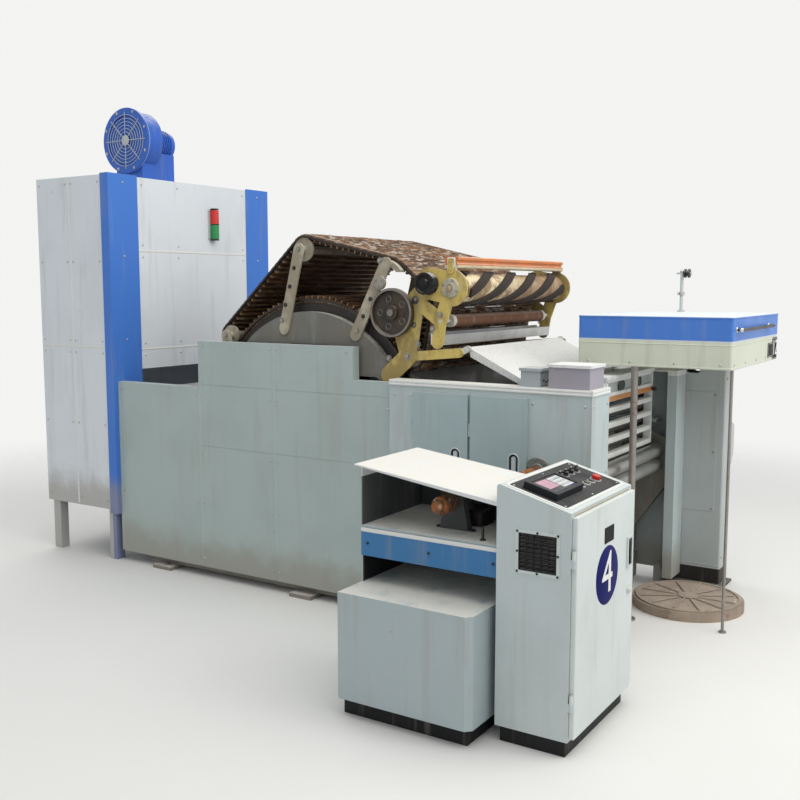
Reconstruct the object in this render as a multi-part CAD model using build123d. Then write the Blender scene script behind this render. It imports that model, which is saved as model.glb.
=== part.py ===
from build123d import *

import math
import os

# Revolving-flat carding machine with its can coiler and control cabinet.
# Millimetres. +X is to the right for someone who faces the delivery end, +Y runs from the
# delivery end to the feed end, +Z is up. The origin is on the floor, on the machine's centre
# plane, straight below the cylinder's axis.

# Running room and seats
gap = 0.3                  # between parts that move past each other
bearing_play = 0.05        # radial play of a shaft in its bore
sheet = 5.0                # folded sheet of casings, covers and housings

# Working width, which the places along X follow
roll_half = 508.0          # half the length of the small rollers
cylinder_half = roll_half + 2.0
doffer_half = roll_half - 3.0

# Cylinder, doffer and licker-in
cylinder_r = 645.0
cylinder_z = 880.0
cylinder_shaft_r = 45.0
cylinder_wall = 18.0
doffer_r = 353.0
doffer_shaft_r = 32.0
doffer_drop_deg = 16.0     # the doffer's axis lies this far below level, seen from the cylinder
licker_r = 125.0
licker_shaft_r = 26.0
licker_drop_deg = 9.0
clothing_gap = 1.0         # between clothed rollers that work on each other

# Small rollers
stripping_r = 62.5
stripping_rise_deg = 14.0
crush_r = 37.5
roll_shaft_r = 20.0
feed_roll_r = 50.0
feed_plate_gap = 3.0


def polar(centre, r, degrees_from_top):
    """A point round a centre, measured from straight up towards the delivery end."""
    a = math.radians(degrees_from_top)
    return (centre[0] - r * math.sin(a), centre[1] + r * math.cos(a))


# Axes of the rollers, and the delivery front that follows them
cylinder_axis = (0.0, cylinder_z)
cylinder_top = cylinder_z + cylinder_r
doffer_axis = polar(cylinder_axis, cylinder_r + doffer_r + clothing_gap, 90 + doffer_drop_deg)
licker_axis = polar(cylinder_axis, cylinder_r + licker_r + clothing_gap, -90 - licker_drop_deg)
stripping_axis = polar(doffer_axis, doffer_r + stripping_r + clothing_gap, 90 - stripping_rise_deg)
crush_y = stripping_axis[0] - stripping_r - 2 * clothing_gap - crush_r
crush_low_axis = (crush_y, stripping_axis[1] - crush_r - gap / 2)
crush_high_axis = (crush_y, stripping_axis[1] + crush_r + gap / 2)
feed_axis = polar(licker_axis, licker_r + feed_roll_r + clothing_gap, -70.0)
front_y = round(crush_y + 6.4)    # front face of the instrument box

# Flats that work on the cylinder
flat_setting = 1.5         # between cylinder and flats
bend_in = cylinder_half + 12.0
bend_depth = 46.0
bend_r = cylinder_r + flat_setting - gap

# Frame castings
frame_in = roll_half + 32.0    # inner face of the side frames
frame_thick = 50.0
frame_out = frame_in + frame_thick
frame_arch_r = bend_r - bend_depth - 0.2
frame_front_y = front_y + 115.0
frame_rear_y = 1150.0
beam_height = 160.0
beam_width = 90.0
pad_height = 20.0
foot_x = frame_in + 100.0      # holding-down bolts, from the centre plane
foot_front_y = front_y + 260.0
foot_rear_y = 1000.0
foot_hole_r = 11.0
boss_length = 40.0

# Flats and their endless path
flat_pitch = 36.8
flat_half = bend_in + 23.0
flat_width = 33.0
flat_base = 12.0
flat_rib = 22.0
flat_rib_width = 8.0
chain_thick = 10.0
chain_width = 12.0
wheel_shaft_r = 20.0
side_wheel = (-cylinder_r + 105.0, cylinder_top - 43.0)
side_wheel_shaft_r = 18.0
front_low_deg = 57.0       # where the flats leave the cylinder, from the top
rear_low_deg = 50.0
turn_r = 60.0
front_top = (-cylinder_r - 3.0, cylinder_top + 18.0)
shoe_centre = (-cylinder_r + 201.0, cylinder_top + 70.0)
shoe_r = 150.0
apex = (50.0, cylinder_top + 269.0)
apex_r = 66.0
bracket_thick = 10.0

# Stripping of the flats, above the doffer
clearer_r = 35.0
clearer_deg = 45.0
drum_core_r = 66.0
drum_r = 80.0
drum_deg = 10.0
spiral_starts = 4
spiral_pitch = 1010.0
strip_width = 42.0
clearer_bar_size = (70.0, 54.0)
brown_roller_r = 30.0
brown_roller = (front_top[0] - 137.0, front_top[1] - 98.0)
trough = (brown_roller[0] + 37.0, brown_roller[1] - 85.0)
drive_wheel_r = 117.0
clearer_wheel_r = 52.0

# Side casings and doors
casing_in = frame_out + 21.0
casing_out = casing_in + 79.0
casing_front_y = front_y - 116.0
casing_column_y = front_y - 40.0      # the right casing ends here, against the column
casing_return_x = casing_in - 121.0   # its front returns inwards to here
casing_return = 50.0
casing_rear_y = front_y + 900.0
casing_low = 60.0
casing_top = 1170.0
door_thick = 16.0
door_seat = 1.0
door_low = 150.0
door_high = 1120.0
door_front_y = front_y + 176.0
door_split_y = front_y + 463.0
door_rear_y = front_y + 760.0
door_gap = 14.0
knuckle_r = 6.0
knuckle_length = 30.0
hinge_pin_r = 3.0
cover_out = casing_in + 53.0
cover_top = 1313.0
cover_rear_y = 1335.0
cover_front_step_y = -330.0
cover_step_y = 700.0
cover_low_top = 1060.0
cover_front_top = 1150.0

# Delivery front
instrument_x = (-220.0, 454.0)
instrument_z = (1091.0, 1172.0)
instrument_depth = 100.0
rail_levels = (1020.0, 947.0, 873.0, 800.0)
hood_hinge = (brown_roller[0] - 115.0, brown_roller[1] - 129.0)
hood_foot = (front_y + 255.0, 1166.0)
hood_half = frame_in - 8.0
hood_lip = 22.0
hood_rod_r = 9.0

# Coiler
column_x = (casing_out - 40.0, casing_out + 120.0)
column_y = (front_y - 325.0, front_y - 40.0)
head_x = (column_x[1] - 920.0, column_x[1] - 10.0)
head_y = (front_y - 540.0, front_y + 190.0)
head_z = (1233.0, 1356.0)
lid_top = 1470.0
lid_hinge = (head_y[1] + 9.0, head_z[1] + 8.0)
lid_pin_r = 5.0
can_x = column_x[0] - 360.0
can_y = front_y - 265.0
turntable_r = 258.0
turntable_z = (30.0, 52.0)
pivot_r = 20.0
coiler_r = 218.0
post_r = 16.5
post_place = (head_x[0] + 30.0, front_y - 85.0)
rod_r = 7.0
rod_place = (head_x[0] + 86.0, head_y[0] + 20.0)
pole_x = head_x[1] - 30.0
pole_y = front_y - 40.0
pole_height = 215.0
pulley_r = 24.0

# Main drive
motor_axis = (820.0, 290.0)
motor_r = 95.0
motor_x = (roll_half - 228.0, roll_half - 8.0)
motor_shaft_r = 19.0
motor_pulley_r = 60.0
cylinder_pulley_r = 120.0
pulley_x = (casing_in + 1.0, casing_in + 39.0)
belt_thick = 5.0

# Control cabinet
cabinet_x = (-casing_out - 900.0, -casing_out - 320.0)
cabinet_y = (front_y - 406.0, front_y - 130.0)
cabinet_low = 60.0
cabinet_front_top = 857.0
cabinet_rear_top = 932.0
cabinet_door_thick = 18.0
switch_r = 34.0
switch_stem_r = 8.0
knob_r = 13.0

# Drive bay behind the cabinet
bay_x = (-casing_out - 870.0, -casing_out - 430.0)
bay_y = (front_y - 130.0, front_y + 460.0)
bay_top = (862.0, 938.0)
shaft_r = 21.0
bay_plate_top = 702.0
bay_plate_thick = 17.0
bay_band = 100.0           # height of the blue band under the plate
bay_box_top = 480.0
bay_box_low = 70.0
bay_box_out = 160.0        # how far the grey box stands out past the bay's side
bay_shaft_axis = (front_y + 125.0, bay_plate_top + 108.0)

# Feed chute
chute_half = casing_out
chute_y = (1340.0, 1960.0)
chute_z = (300.0, 2240.0)
strip_face = 215.0
fan_r = 175.0
spigot_r = 150.0
spigot_y = 1770.0


def block(x0, x1, y0, y1, z0, z1):
    """A box between two corners."""
    return Pos((x0 + x1) / 2, (y0 + y1) / 2, (z0 + z1) / 2) * Box(x1 - x0, y1 - y0, z1 - z0)


def prism_x(outline, x0, x1):
    """An outline in (y, z) carried along X."""
    return extrude(Plane.YZ.offset(x0) * outline, amount=x1 - x0)


def polygon(*points):
    """A closed outline through its corners."""
    return make_face(Polyline(*points, close=True))


def rod_x(y, z, r, x0, x1):
    return prism_x(Pos(y, z) * Circle(r), x0, x1)


def rod_y(x, z, r, y0, y1):
    return Pos(x, (y0 + y1) / 2, z) * Rot(90, 0, 0) * Cylinder(r, y1 - y0)


def rod_z(x, y, r, z0, z1):
    return Pos(x, y, (z0 + z1) / 2) * Cylinder(r, z1 - z0)


def both_sides(shape):
    """A piece and its mirror image on the other side of the machine, as two solids."""
    return [shape, mirror(shape, about=Plane.YZ)]


# Places on the flats' path and above the doffer
flat_arc_r = cylinder_r + flat_setting + flat_base
front_low = polar(cylinder_axis, flat_arc_r + turn_r + 3.0, front_low_deg)
rear_low = polar(cylinder_axis, flat_arc_r + turn_r + 3.0, -rear_low_deg)
clearer_axis = polar(front_top, turn_r + flat_base + clearer_r + clothing_gap, clearer_deg)
drum_axis = polar(clearer_axis, clearer_r + drum_r + 2 * clothing_gap, 90 + drum_deg)
bracket_out = frame_out + bracket_thick


def clothed_roll(axis, r, half, wall, shaft_r, shaft_half):
    """A hollow roll with two end webs, turned with its shaft."""
    shell = prism_x(Pos(*axis) * (Circle(r) - Circle(r - wall)), -half, half)
    web = Circle(r - wall)
    for i in range(4):
        web -= Rot(0, 0, 45 + 90 * i) * Pos(r * 0.58, 0) * Circle(r * 0.2)
    for side in (-1, 1):
        inner, outer = sorted((side * (half - 60.0), side * (half - 60.0 + wall)))
        shell = shell + prism_x(Pos(*axis) * web, inner, outer)
        hub_in, hub_out = sorted((side * (half - 90.0), side * (half - 20.0)))
        shell = shell + rod_x(*axis, shaft_r * 1.9, hub_in, hub_out)
    return shell + rod_x(*axis, shaft_r, -shaft_half, shaft_half)


def cylinder():
    x0, x1 = pulley_x
    pulley = rod_x(*cylinder_axis, cylinder_pulley_r, x0, x1)
    recess = Circle(cylinder_pulley_r - 16.0) - Circle(cylinder_shaft_r + 17.0)
    pulley = pulley - prism_x(Pos(*cylinder_axis) * recess, x0 + 8, x1)
    roll = clothed_roll(cylinder_axis, cylinder_r, cylinder_half, cylinder_wall,
                        cylinder_shaft_r, frame_out + boss_length - 10.0)
    return roll + pulley + rod_x(*cylinder_axis, cylinder_shaft_r, frame_out, x1 + 2)


def doffer():
    return clothed_roll(doffer_axis, doffer_r, doffer_half, 14.0,
                        doffer_shaft_r, frame_out + boss_length)


def licker_in():
    y, z = licker_axis
    return rod_x(y, z, licker_r, -roll_half, roll_half) + \
        rod_x(y, z, licker_shaft_r, -frame_out - boss_length, frame_out + boss_length)


def plain_roll(axis, r, grooves=0):
    """A roll on its shaft, with turned grooves where it has them."""
    y, z = axis
    roll = rod_x(y, z, r, -roll_half, roll_half)
    for i in range(grooves):
        x = roll_half * (2 * (i + 1) / (grooves + 1) - 1)
        roll = roll - prism_x(Pos(y, z) * (Circle(r + 1) - Circle(r - 4)), x - 6, x + 6)
    return roll + rod_x(y, z, roll_shaft_r, -frame_out, frame_out)


def side_frame():
    """One cast side: an arch over the cylinder's end, arms for doffer and licker-in, bores."""
    arch = Pos(*cylinder_axis) * Circle(frame_arch_r)
    body = polygon((frame_front_y, beam_height), (frame_rear_y, beam_height),
                   (frame_rear_y, 640), (980, 900), (600, 960), (-600, 960),
                   (-1000, 860), (frame_front_y, 860))
    outline = fillet((arch + body).vertices().filter_by_position(Axis.Y, 300, 900), 30)
    arm_end = front_y - 60
    arm = polygon((frame_front_y + 5, 300), (arm_end, 560), (arm_end, 800), (frame_front_y + 5, 860))
    plate = prism_x(outline, frame_in, frame_out) + prism_x(arm, frame_in, frame_out)
    for y, z, wide, high in ((-640, 400, 260, 300), (0, 450, 340, 200), (640, 430, 260, 260),
                             (0, 1240, 300, 150), (-360, 1080, 170, 170), (360, 1080, 170, 170)):
        window = Pos(y, z) * RectangleRounded(wide, high, 40)
        plate = plate - prism_x(window, frame_in - 1, frame_out + 1)
    bores = [(cylinder_axis, cylinder_shaft_r, 95.0), (doffer_axis, doffer_shaft_r, 70.0),
             (licker_axis, licker_shaft_r, 60.0), (stripping_axis, roll_shaft_r, 0),
             (crush_low_axis, roll_shaft_r, 0), (crush_high_axis, roll_shaft_r, 0),
             (feed_axis, roll_shaft_r, 0)]
    for (y, z), shaft, boss in bores:
        if boss:
            plate = plate + rod_x(y, z, boss, frame_out, frame_out + boss_length - 20.0)
    for (y, z), shaft, boss in bores:
        plate = plate - rod_x(y, z, shaft + bearing_play, frame_in - 1, frame_out + boss_length)
    return plate - rod_x(*motor_axis, motor_shaft_r + 12.0, frame_in - 1, frame_out + 1)


def base_frame():
    """Two long floor beams on pads, tied by cross beams, with lugs for the holding-down bolts."""
    beams = None
    for side in (-1, 1):
        x = side * (frame_in + frame_thick / 2)
        long_beam = block(x - beam_width / 2, x + beam_width / 2, frame_front_y, frame_rear_y,
                          pad_height, beam_height)
        beams = long_beam if beams is None else beams + long_beam
        for y in (foot_front_y, 0.0, foot_rear_y):
            inner, outer = sorted((side * (frame_in - 25), side * (foot_x + 45)))
            beams = beams + block(inner, outer, y - 70, y + 70, 0, pad_height)
    for y in (foot_front_y, 0.0, foot_rear_y):
        beams = beams + block(-frame_in, frame_in, y - 45, y + 45, 0 if y == 0 else 40, 130)
    for x in (-foot_x, foot_x):
        for y in (foot_front_y, foot_rear_y):
            beams = beams - rod_z(x, y, foot_hole_r, -1, pad_height + 1)
    return beams


def belt_corners(circles):
    """Where an endless band meets each circle it goes round.

    Each circle is (centre, radius, side): side is +1 where the band turns to the left round
    it and -1 where it turns to the right. A band's point on a circle is its centre less side
    times radius along the band's left-hand normal.
    """
    corners = []
    for i, (centre, r, side) in enumerate(circles):
        following, r_next, side_next = circles[(i + 1) % len(circles)]
        dy, dz = following[0] - centre[0], following[1] - centre[1]
        lean = math.asin((side_next * r_next - side * r) / math.hypot(dy, dz))
        heading = math.atan2(dz, dy) - lean
        ny, nz = -math.sin(heading), math.cos(heading)
        corners.append(((centre[0] - side * r * ny, centre[1] - side * r * nz),
                        (following[0] - side_next * r_next * ny,
                         following[1] - side_next * r_next * nz)))
    return corners


def band_runs(circles):
    """The band as runs in order: an arc round each circle, then the straight to the next."""
    corners = belt_corners(circles)
    runs = []
    for i, (centre, r, side) in enumerate(circles):
        arrive = corners[i - 1][1]
        leave, land = corners[i]
        start = math.atan2(arrive[1] - centre[1], arrive[0] - centre[0])
        turn = (math.atan2(leave[1] - centre[1], leave[0] - centre[0]) - start) * side
        runs.append(("arc", centre, r, side, start, turn % (2 * math.pi)))
        runs.append(("line", leave, land))
    return runs


def run_length(run):
    if run[0] == "arc":
        return run[2] * run[5]
    return math.dist(run[1], run[2])


def run_point(run, distance):
    """The point at a distance along a run, and the heading there."""
    if run[0] == "arc":
        kind, centre, r, side, start, turn = run
        a = start + side * distance / r
        return (centre[0] + r * math.cos(a), centre[1] + r * math.sin(a)), a + side * math.pi / 2
    kind, p, q = run
    share = distance / math.dist(p, q)
    heading = math.atan2(q[1] - p[1], q[0] - p[0])
    return (p[0] + share * (q[0] - p[0]), p[1] + share * (q[1] - p[1])), heading


def flat_path(outward=0.0):
    """The circles that the flats' chain goes round, moved outward from the pitch line."""
    return [(rear_low, turn_r + outward, 1), (apex, apex_r + outward, 1),
            (shoe_centre, shoe_r + outward, 1), (front_top, turn_r + outward, 1),
            (front_low, turn_r + outward, 1), (cylinder_axis, flat_arc_r - outward, -1)]


def band_face(circles):
    """The area inside an endless band."""
    edges = []
    for run in band_runs(circles):
        length = run_length(run)
        first, last = run_point(run, 0)[0], run_point(run, length)[0]
        if run[0] == "arc":
            edges.append(ThreePointArc(first, run_point(run, length / 2)[0], last))
        else:
            edges.append(Line(first, last))
    return make_face(Wire(edges))


def flat_bars():
    """Every flat: a clothed base that faces out of the loop, and a rib that faces in."""
    runs = band_runs(flat_path())
    total = sum(run_length(run) for run in runs)
    count = round(total / flat_pitch)
    half = flat_width / 2
    rib = flat_rib_width / 2
    section = polygon((-half, -flat_base), (half, -flat_base), (half, 0), (rib, 0),
                      (rib, flat_rib), (-rib, flat_rib), (-rib, 0), (-half, 0))
    bar = prism_x(section, -flat_half, flat_half)
    bars = []
    for i in range(count):
        along = (i + 0.5) * total / count
        for run in runs:
            length = run_length(run)
            if along <= length:
                break
            along -= length
        (y, z), heading = run_point(run, along)
        bars.append(Pos(0, y, z) * Rot(math.degrees(heading), 0, 0) * bar)
    return bars


def flat_chain():
    """The endless chain at one end of the flats."""
    outer = band_face(flat_path(chain_thick / 2))
    inner = band_face(flat_path(-chain_thick / 2))
    return prism_x(outer - inner, flat_half, flat_half + chain_width)


def flexible_bend():
    """The arched rail that the working flats slide on, outside the cylinder's end."""
    ring = Circle(bend_r) - Circle(bend_r - bend_depth)
    low = bend_r * math.cos(math.radians(62))
    keep = Pos(0, low + bend_r) * Rectangle(2.2 * bend_r, 2 * bend_r)
    return prism_x(Pos(*cylinder_axis) * (ring & keep), bend_in, flat_half)


def strap(foot, head, width):
    """A flat strap with rounded ends between two points in (y, z)."""
    middle = ((foot[0] + head[0]) / 2, (foot[1] + head[1]) / 2)
    angle = math.degrees(math.atan2(head[1] - foot[1], head[0] - foot[0]))
    length = math.dist(foot, head) + width
    return Pos(*middle) * Rot(0, 0, angle) * SlotOverall(length, width)


def wheel_shaft(centre, r):
    """A shaft across the machine with a rim under the chain at each end."""
    under_chain = chain_thick / 2 + gap
    shaft = rod_x(*centre, wheel_shaft_r, -bracket_out, bracket_out)
    for side in (-1, 1):
        inner, outer = sorted((side * (flat_half + 1.0), side * (flat_half + chain_width - 1.0)))
        shaft = shaft + rod_x(*centre, r - under_chain, inner, outer)
    return shaft


def flat_guides():
    """Dead shafts with guide rims, the guide shoes, and the straps that carry them."""
    wheel_in = flat_half + 1.0
    pieces = []
    for centre, r in ((rear_low, turn_r), (apex, apex_r), (front_low, turn_r)):
        pieces.append(wheel_shaft(centre, r))
    shoe_top = shoe_r - chain_thick / 2 - gap
    shoe = Circle(shoe_top) - Circle(shoe_top - 26)
    shoe = shoe & (Pos(-64, shoe_top - 20) * Rectangle(100, 90))
    shoe = prism_x(Pos(*shoe_centre) * shoe, wheel_in, frame_out)
    shoe_head = (shoe_centre[0] - 34.0, shoe_centre[1] + 121.0)
    feet = [polar(cylinder_axis, frame_arch_r - depth, degrees)
            for depth, degrees in ((25.5, 31.5), (68.4, -16.4), (45.4, -64.4))]
    for foot, head in zip(feet, (shoe_head, apex, rear_low)):
        plate = prism_x(strap(foot, head, 62), frame_out, bracket_out)
        if head == shoe_head:
            plate = plate + shoe
            plate = plate + rod_x(shoe_centre[0] - 6, shoe_centre[1] + 29, 34, bracket_out, bracket_out + 14)
        else:
            plate = plate - rod_x(head[0], head[1], wheel_shaft_r, frame_out - 1, bracket_out + 1)
        pieces += both_sides(plate)
    return pieces


def flats_drive_wheel():
    """The large handwheel disc of the flats' drive, on its stub at the left side."""
    x_in, x_out = bracket_out + 22, bracket_out + 50
    wheel = rod_x(*side_wheel, drive_wheel_r, -x_out, -x_in)
    dish = Circle(drive_wheel_r - 13) - Circle(side_wheel_shaft_r + 16)
    wheel = wheel - prism_x(Pos(*side_wheel) * dish, -x_out - 1, -x_in - 12)
    return wheel + rod_x(*side_wheel, side_wheel_shaft_r, -x_out - 6, -frame_out + 4)


def drum_frame():
    """Two yellow end plates that hold drum, clearer roll, front chain wheels and hood."""
    arch_foot = polar(cylinder_axis, frame_arch_r - 17, 59.0)
    outline = Pos(*drum_axis) * Circle(drum_r + 6) + Pos(*clearer_axis) * Circle(clearer_r + 4)
    outline += strap(drum_axis, clearer_axis, 150) + strap(front_low, front_top, 92)
    outline += strap(clearer_axis, front_top, 90) + strap(front_low, arch_foot, 92)
    hood_end = (hood_hinge[0] + 16, hood_hinge[1] - 16)
    outline += strap(front_low, side_wheel, 84) + strap(front_low, hood_end, 44)
    outline += strap(brown_roller, front_top, 66) + strap(drum_axis, brown_roller, 66)
    outline += strap(brown_roller, (trough[0] - 20, trough[1] - 15), 60)
    plate = prism_x(outline, frame_out, bracket_out)
    for (y, z), shaft in ((drum_axis, 14.0), (clearer_axis, 14.0), (brown_roller, 10.0)):
        plate = plate - rod_x(y, z, shaft + bearing_play, frame_out - 1, bracket_out + 1)
    plate = plate - rod_x(*front_top, wheel_shaft_r + bearing_play, frame_out - 1, bracket_out + 1)
    plate = plate - rod_x(*front_low, wheel_shaft_r, frame_out - 1, bracket_out + 1)
    frame = plate + mirror(plate, about=Plane.YZ) + hood_carrier()
    return frame - rod_x(*side_wheel, side_wheel_shaft_r + bearing_play, -bracket_out - 1, -frame_out + 1)


def spiral_drum():
    """A drum with helical brush strips, on its shaft."""
    y, z = drum_axis
    drum = rod_x(y, z, drum_core_r, -flat_half, flat_half)
    turn_length = 2 * flat_half - 20.0
    path = Helix(spiral_pitch, turn_length, drum_core_r + 4.0)
    start = path @ 0
    across = Plane(origin=start, z_dir=path % 0, x_dir=(1, 0, 0))
    section = across * Pos((drum_r - drum_core_r - 4.0) / 2 - 5, 0) * \
        Rectangle(drum_r - drum_core_r + 6.0, strip_width)
    one = sweep(section, path=path, is_frenet=True)
    keep = Cylinder(drum_r, turn_length, align=(Align.CENTER, Align.CENTER, Align.MIN))
    one = one & keep
    for i in range(spiral_starts):
        turned = Rot(0, 0, i * 360 / spiral_starts) * one
        drum = drum + Pos(-turn_length / 2, y, z) * Rot(0, 90, 0) * turned
    return drum + rod_x(y, z, 14.0, -bracket_out - 20, bracket_out + 20)


def clearer_roll():
    y, z = clearer_axis
    roll = rod_x(y, z, clearer_r, -flat_half, flat_half)
    x_out = bracket_out + 50
    wheel = rod_x(y, z, clearer_wheel_r, -x_out, -bracket_out - 4)
    wheel = wheel - prism_x(Pos(y, z) * (Circle(clearer_wheel_r - 10) - Circle(20)), -x_out - 1, -x_out + 8)
    return roll + rod_x(y, z, 14.0, -x_out - 2, bracket_out + 12) + wheel


def brown_cleaner():
    y, z = brown_roller
    half = roll_half + 12
    return rod_x(y, z, brown_roller_r, -half, half) + rod_x(y, z, 10.0, -bracket_out, bracket_out)


def clearer_bar():
    """The moulded orange bar over the drum, on a foot at each end."""
    wide, high = clearer_bar_size
    y = drum_axis[0] - 4
    low = drum_axis[1] + drum_r + 10
    outline = Pos(y, low + high / 2) * RectangleRounded(wide, high, 8)
    outline -= Pos(y - wide / 2, low + high * 0.55) * Circle(9)
    bar = prism_x(outline, -bracket_out, bracket_out)
    foot = block(frame_out, bracket_out, y - 25, y + 25, low - 20, low + 2)
    foot = foot - rod_x(drum_axis[0], drum_axis[1], drum_r + 6 + gap, 0, 700)
    return bar + foot + mirror(foot, about=Plane.YZ)


def strip_trough():
    """A folded aluminium trough below the cleaner roller."""
    y, z = trough
    outline = polygon((y - 60, z + 22), (y - 56, z - 26), (y + 20, z - 26), (y + 20, z + 30),
                      (y + 16, z + 30), (y + 16, z - 22), (y - 52, z - 22), (y - 56, z + 22))
    shell = prism_x(outline, -frame_out, frame_out)
    for side in (-1, 1):
        inner, outer = sorted((side * frame_out, side * (frame_out - 4)))
        shell = shell + block(inner, outer, y - 56, y + 20, z - 26, z + 20)
    return shell


def doffer_hood():
    """The white sheet hood over the doffer, hinged along its upper edge."""
    (y0, z0), (y1, z1) = hood_hinge, hood_foot
    low = z1 - hood_lip
    outer = polygon((y0, z0 + 6), (y1, z1 + 6), (y1, low), (y1 + 6, low), (y1 + 6, z1 - 1),
                    (y0, z0 - 1))
    hood = prism_x(outer, -hood_half, hood_half)
    cheek = polygon((y0, z0 + 5), (y1 + 1, z1 + 5), (y1 + 1, low), (y0 - 10, z0 - 38))
    for x in (-hood_half, hood_half - 6):
        hood = hood + prism_x(cheek, x, x + 6)
    return hood + rod_x(y0, z0, hood_rod_r, -hood_half - 15, hood_half + 15)


def hood_carrier():
    """The fixed sheet behind the hood, with an ear at each end for the hood's hinge rod."""
    y, z = hood_hinge
    rail = block(-frame_out, frame_out, y + 18, y + 208, z - 20, z - 14)
    for x in (-hood_half - 15, hood_half + 1):
        ear = prism_x(strap((y + 34, z - 17), (y, z), 30), x, x + 14)
        rail = rail + (ear - rod_x(y, z, hood_rod_r + bearing_play, -bracket_out, bracket_out))
    return rail


def knuckles(x, y, levels):
    """Pairs of hinge knuckles on one upright axis: fixed ones with a pin, moving ones bored."""
    fixed, moving = None, None
    for z in levels:
        low = rod_z(x, y, knuckle_r, z - knuckle_length, z)
        low = low + rod_z(x, y, hinge_pin_r, z, z + knuckle_length / 2)
        high = rod_z(x, y, knuckle_r, z + gap, z + gap + knuckle_length)
        high = high - rod_z(x, y, hinge_pin_r + bearing_play, z, z + knuckle_length / 2 + 2)
        fixed = low if fixed is None else fixed + low
        moving = high if moving is None else moving + high
    return fixed, moving


door_levels = (320.0, 960.0)
door_axis_x = casing_out + 10.0
hinge_reach = knuckle_r + 0.5      # from a door's edge to its hinge axis


def casing_side(side, doors):
    """One front side casing: a folded shell with door openings, a return front and feet."""
    front = casing_front_y if side < 0 else casing_column_y
    return_out = casing_out if side < 0 else column_x[0] - 5.0
    shell = block(casing_in, casing_out, front, casing_rear_y, casing_low, casing_top)
    shell = shell - block(casing_in - 1, casing_out - sheet, front + sheet,
                          casing_rear_y - sheet, casing_low - 1, casing_top - sheet)
    fold = block(casing_return_x, return_out, casing_front_y, casing_front_y + casing_return,
                 casing_low, casing_top)
    fold = fold + block(casing_in, return_out, casing_front_y, casing_column_y + sheet,
                        casing_low, casing_top)
    fold = fold - block(casing_return_x + sheet, return_out - sheet, casing_front_y + sheet,
                        casing_front_y + casing_return - sheet, casing_low - 1, casing_top - sheet)
    shelf = block(casing_return_x, casing_in, casing_front_y, front_y + 230, casing_top - sheet, casing_top)
    cap = block(casing_in, casing_out + 5, front, casing_rear_y, casing_top - 26, casing_top)
    hollow = block(casing_in - 1, casing_out - sheet, front + sheet, casing_rear_y - sheet,
                   casing_low - 1, casing_top - sheet)
    if side < 0:
        cap = cap + block(casing_return_x, casing_out + 5, front - 5, front, casing_top - 26, casing_top)
    shell = shell + (cap - hollow)
    shell = shell + (fold - hollow) + shelf
    for y0, y1 in doors:
        shell = shell - block(casing_out - 20, casing_out + 2, y0 + 22, y1 - 22, door_low + 22, door_high - 22)
    for y in (casing_column_y + 20, casing_rear_y - 60):
        shell = shell + block(casing_in, casing_out - sheet, y, y + 40, 0, casing_low + 30)
    shell = shell + block(frame_out, casing_in + 10, front + 60, casing_rear_y - 60, 880, 900)
    shell = shell + block(casing_in, casing_out - sheet, front + 60, front + 90, 880, 900)
    shell = shell + block(casing_in, casing_out - sheet, casing_rear_y - 90, casing_rear_y - 60, 880, 900)
    if side < 0:
        shell = mirror(shell, about=Plane.YZ)
        shell = shell + rod_x(*bay_shaft_axis, 40, -casing_out - 12, -casing_out + sheet)
        shell = shell - rod_x(*bay_shaft_axis, shaft_r + bearing_play, -casing_out - 30, -casing_in)
    for y0, y1 in doors:
        shell = shell + door_hinges(side, y1)[0]
    return shell


def door_hinges(side, door_edge_y):
    """Both halves of one side door's hinges, with the webs that hold them."""
    x = side * door_axis_x
    y = door_edge_y + hinge_reach
    fixed, moving = knuckles(x, y, door_levels)
    for z in door_levels:
        inner, outer = sorted((side * casing_out, side * door_axis_x))
        fixed = fixed + block(inner, outer, y - 3, y + knuckle_r, z - knuckle_length, z)
        inner, outer = sorted((side * (door_axis_x - 3), side * (door_axis_x + 5)))
        moving = moving + block(inner, outer, door_edge_y - 1, y - hinge_pin_r - 1,
                                z + gap, z + gap + knuckle_length)
    return fixed, moving


def side_door(side, y0, y1):
    """A pan door hinged at its rear edge, with an oval latch recess near its front edge."""
    x_in = casing_out + door_seat
    inner, outer = sorted((side * x_in, side * (x_in + door_thick)))
    door = block(inner, outer, y0, y1, door_low, door_high)
    hollow_in, hollow_out = sorted((side * (x_in - 1), side * (x_in + door_thick - sheet)))
    door = door - block(hollow_in, hollow_out, y0 + sheet, y1 - sheet, door_low + sheet, door_high - sheet)
    latch = Pos(y0 + 62, 815) * SlotOverall(110, 44, rotation=90)
    cup = Pos(y0 + 62, 815) * SlotOverall(122, 56, rotation=90)
    pull = Pos(y0 + 62, 822) * SlotOverall(80, 22, rotation=90)
    deep_in, deep_out = sorted((side * (x_in + 2), side * (x_in + door_thick - sheet)))
    door = door + prism_x(cup, deep_in, deep_out)
    cut_in, cut_out = sorted((side * (x_in + 6), side * (x_in + door_thick + 1)))
    door = door - prism_x(latch - pull, cut_in, cut_out)
    return door + door_hinges(side, y1)[1]


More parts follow.
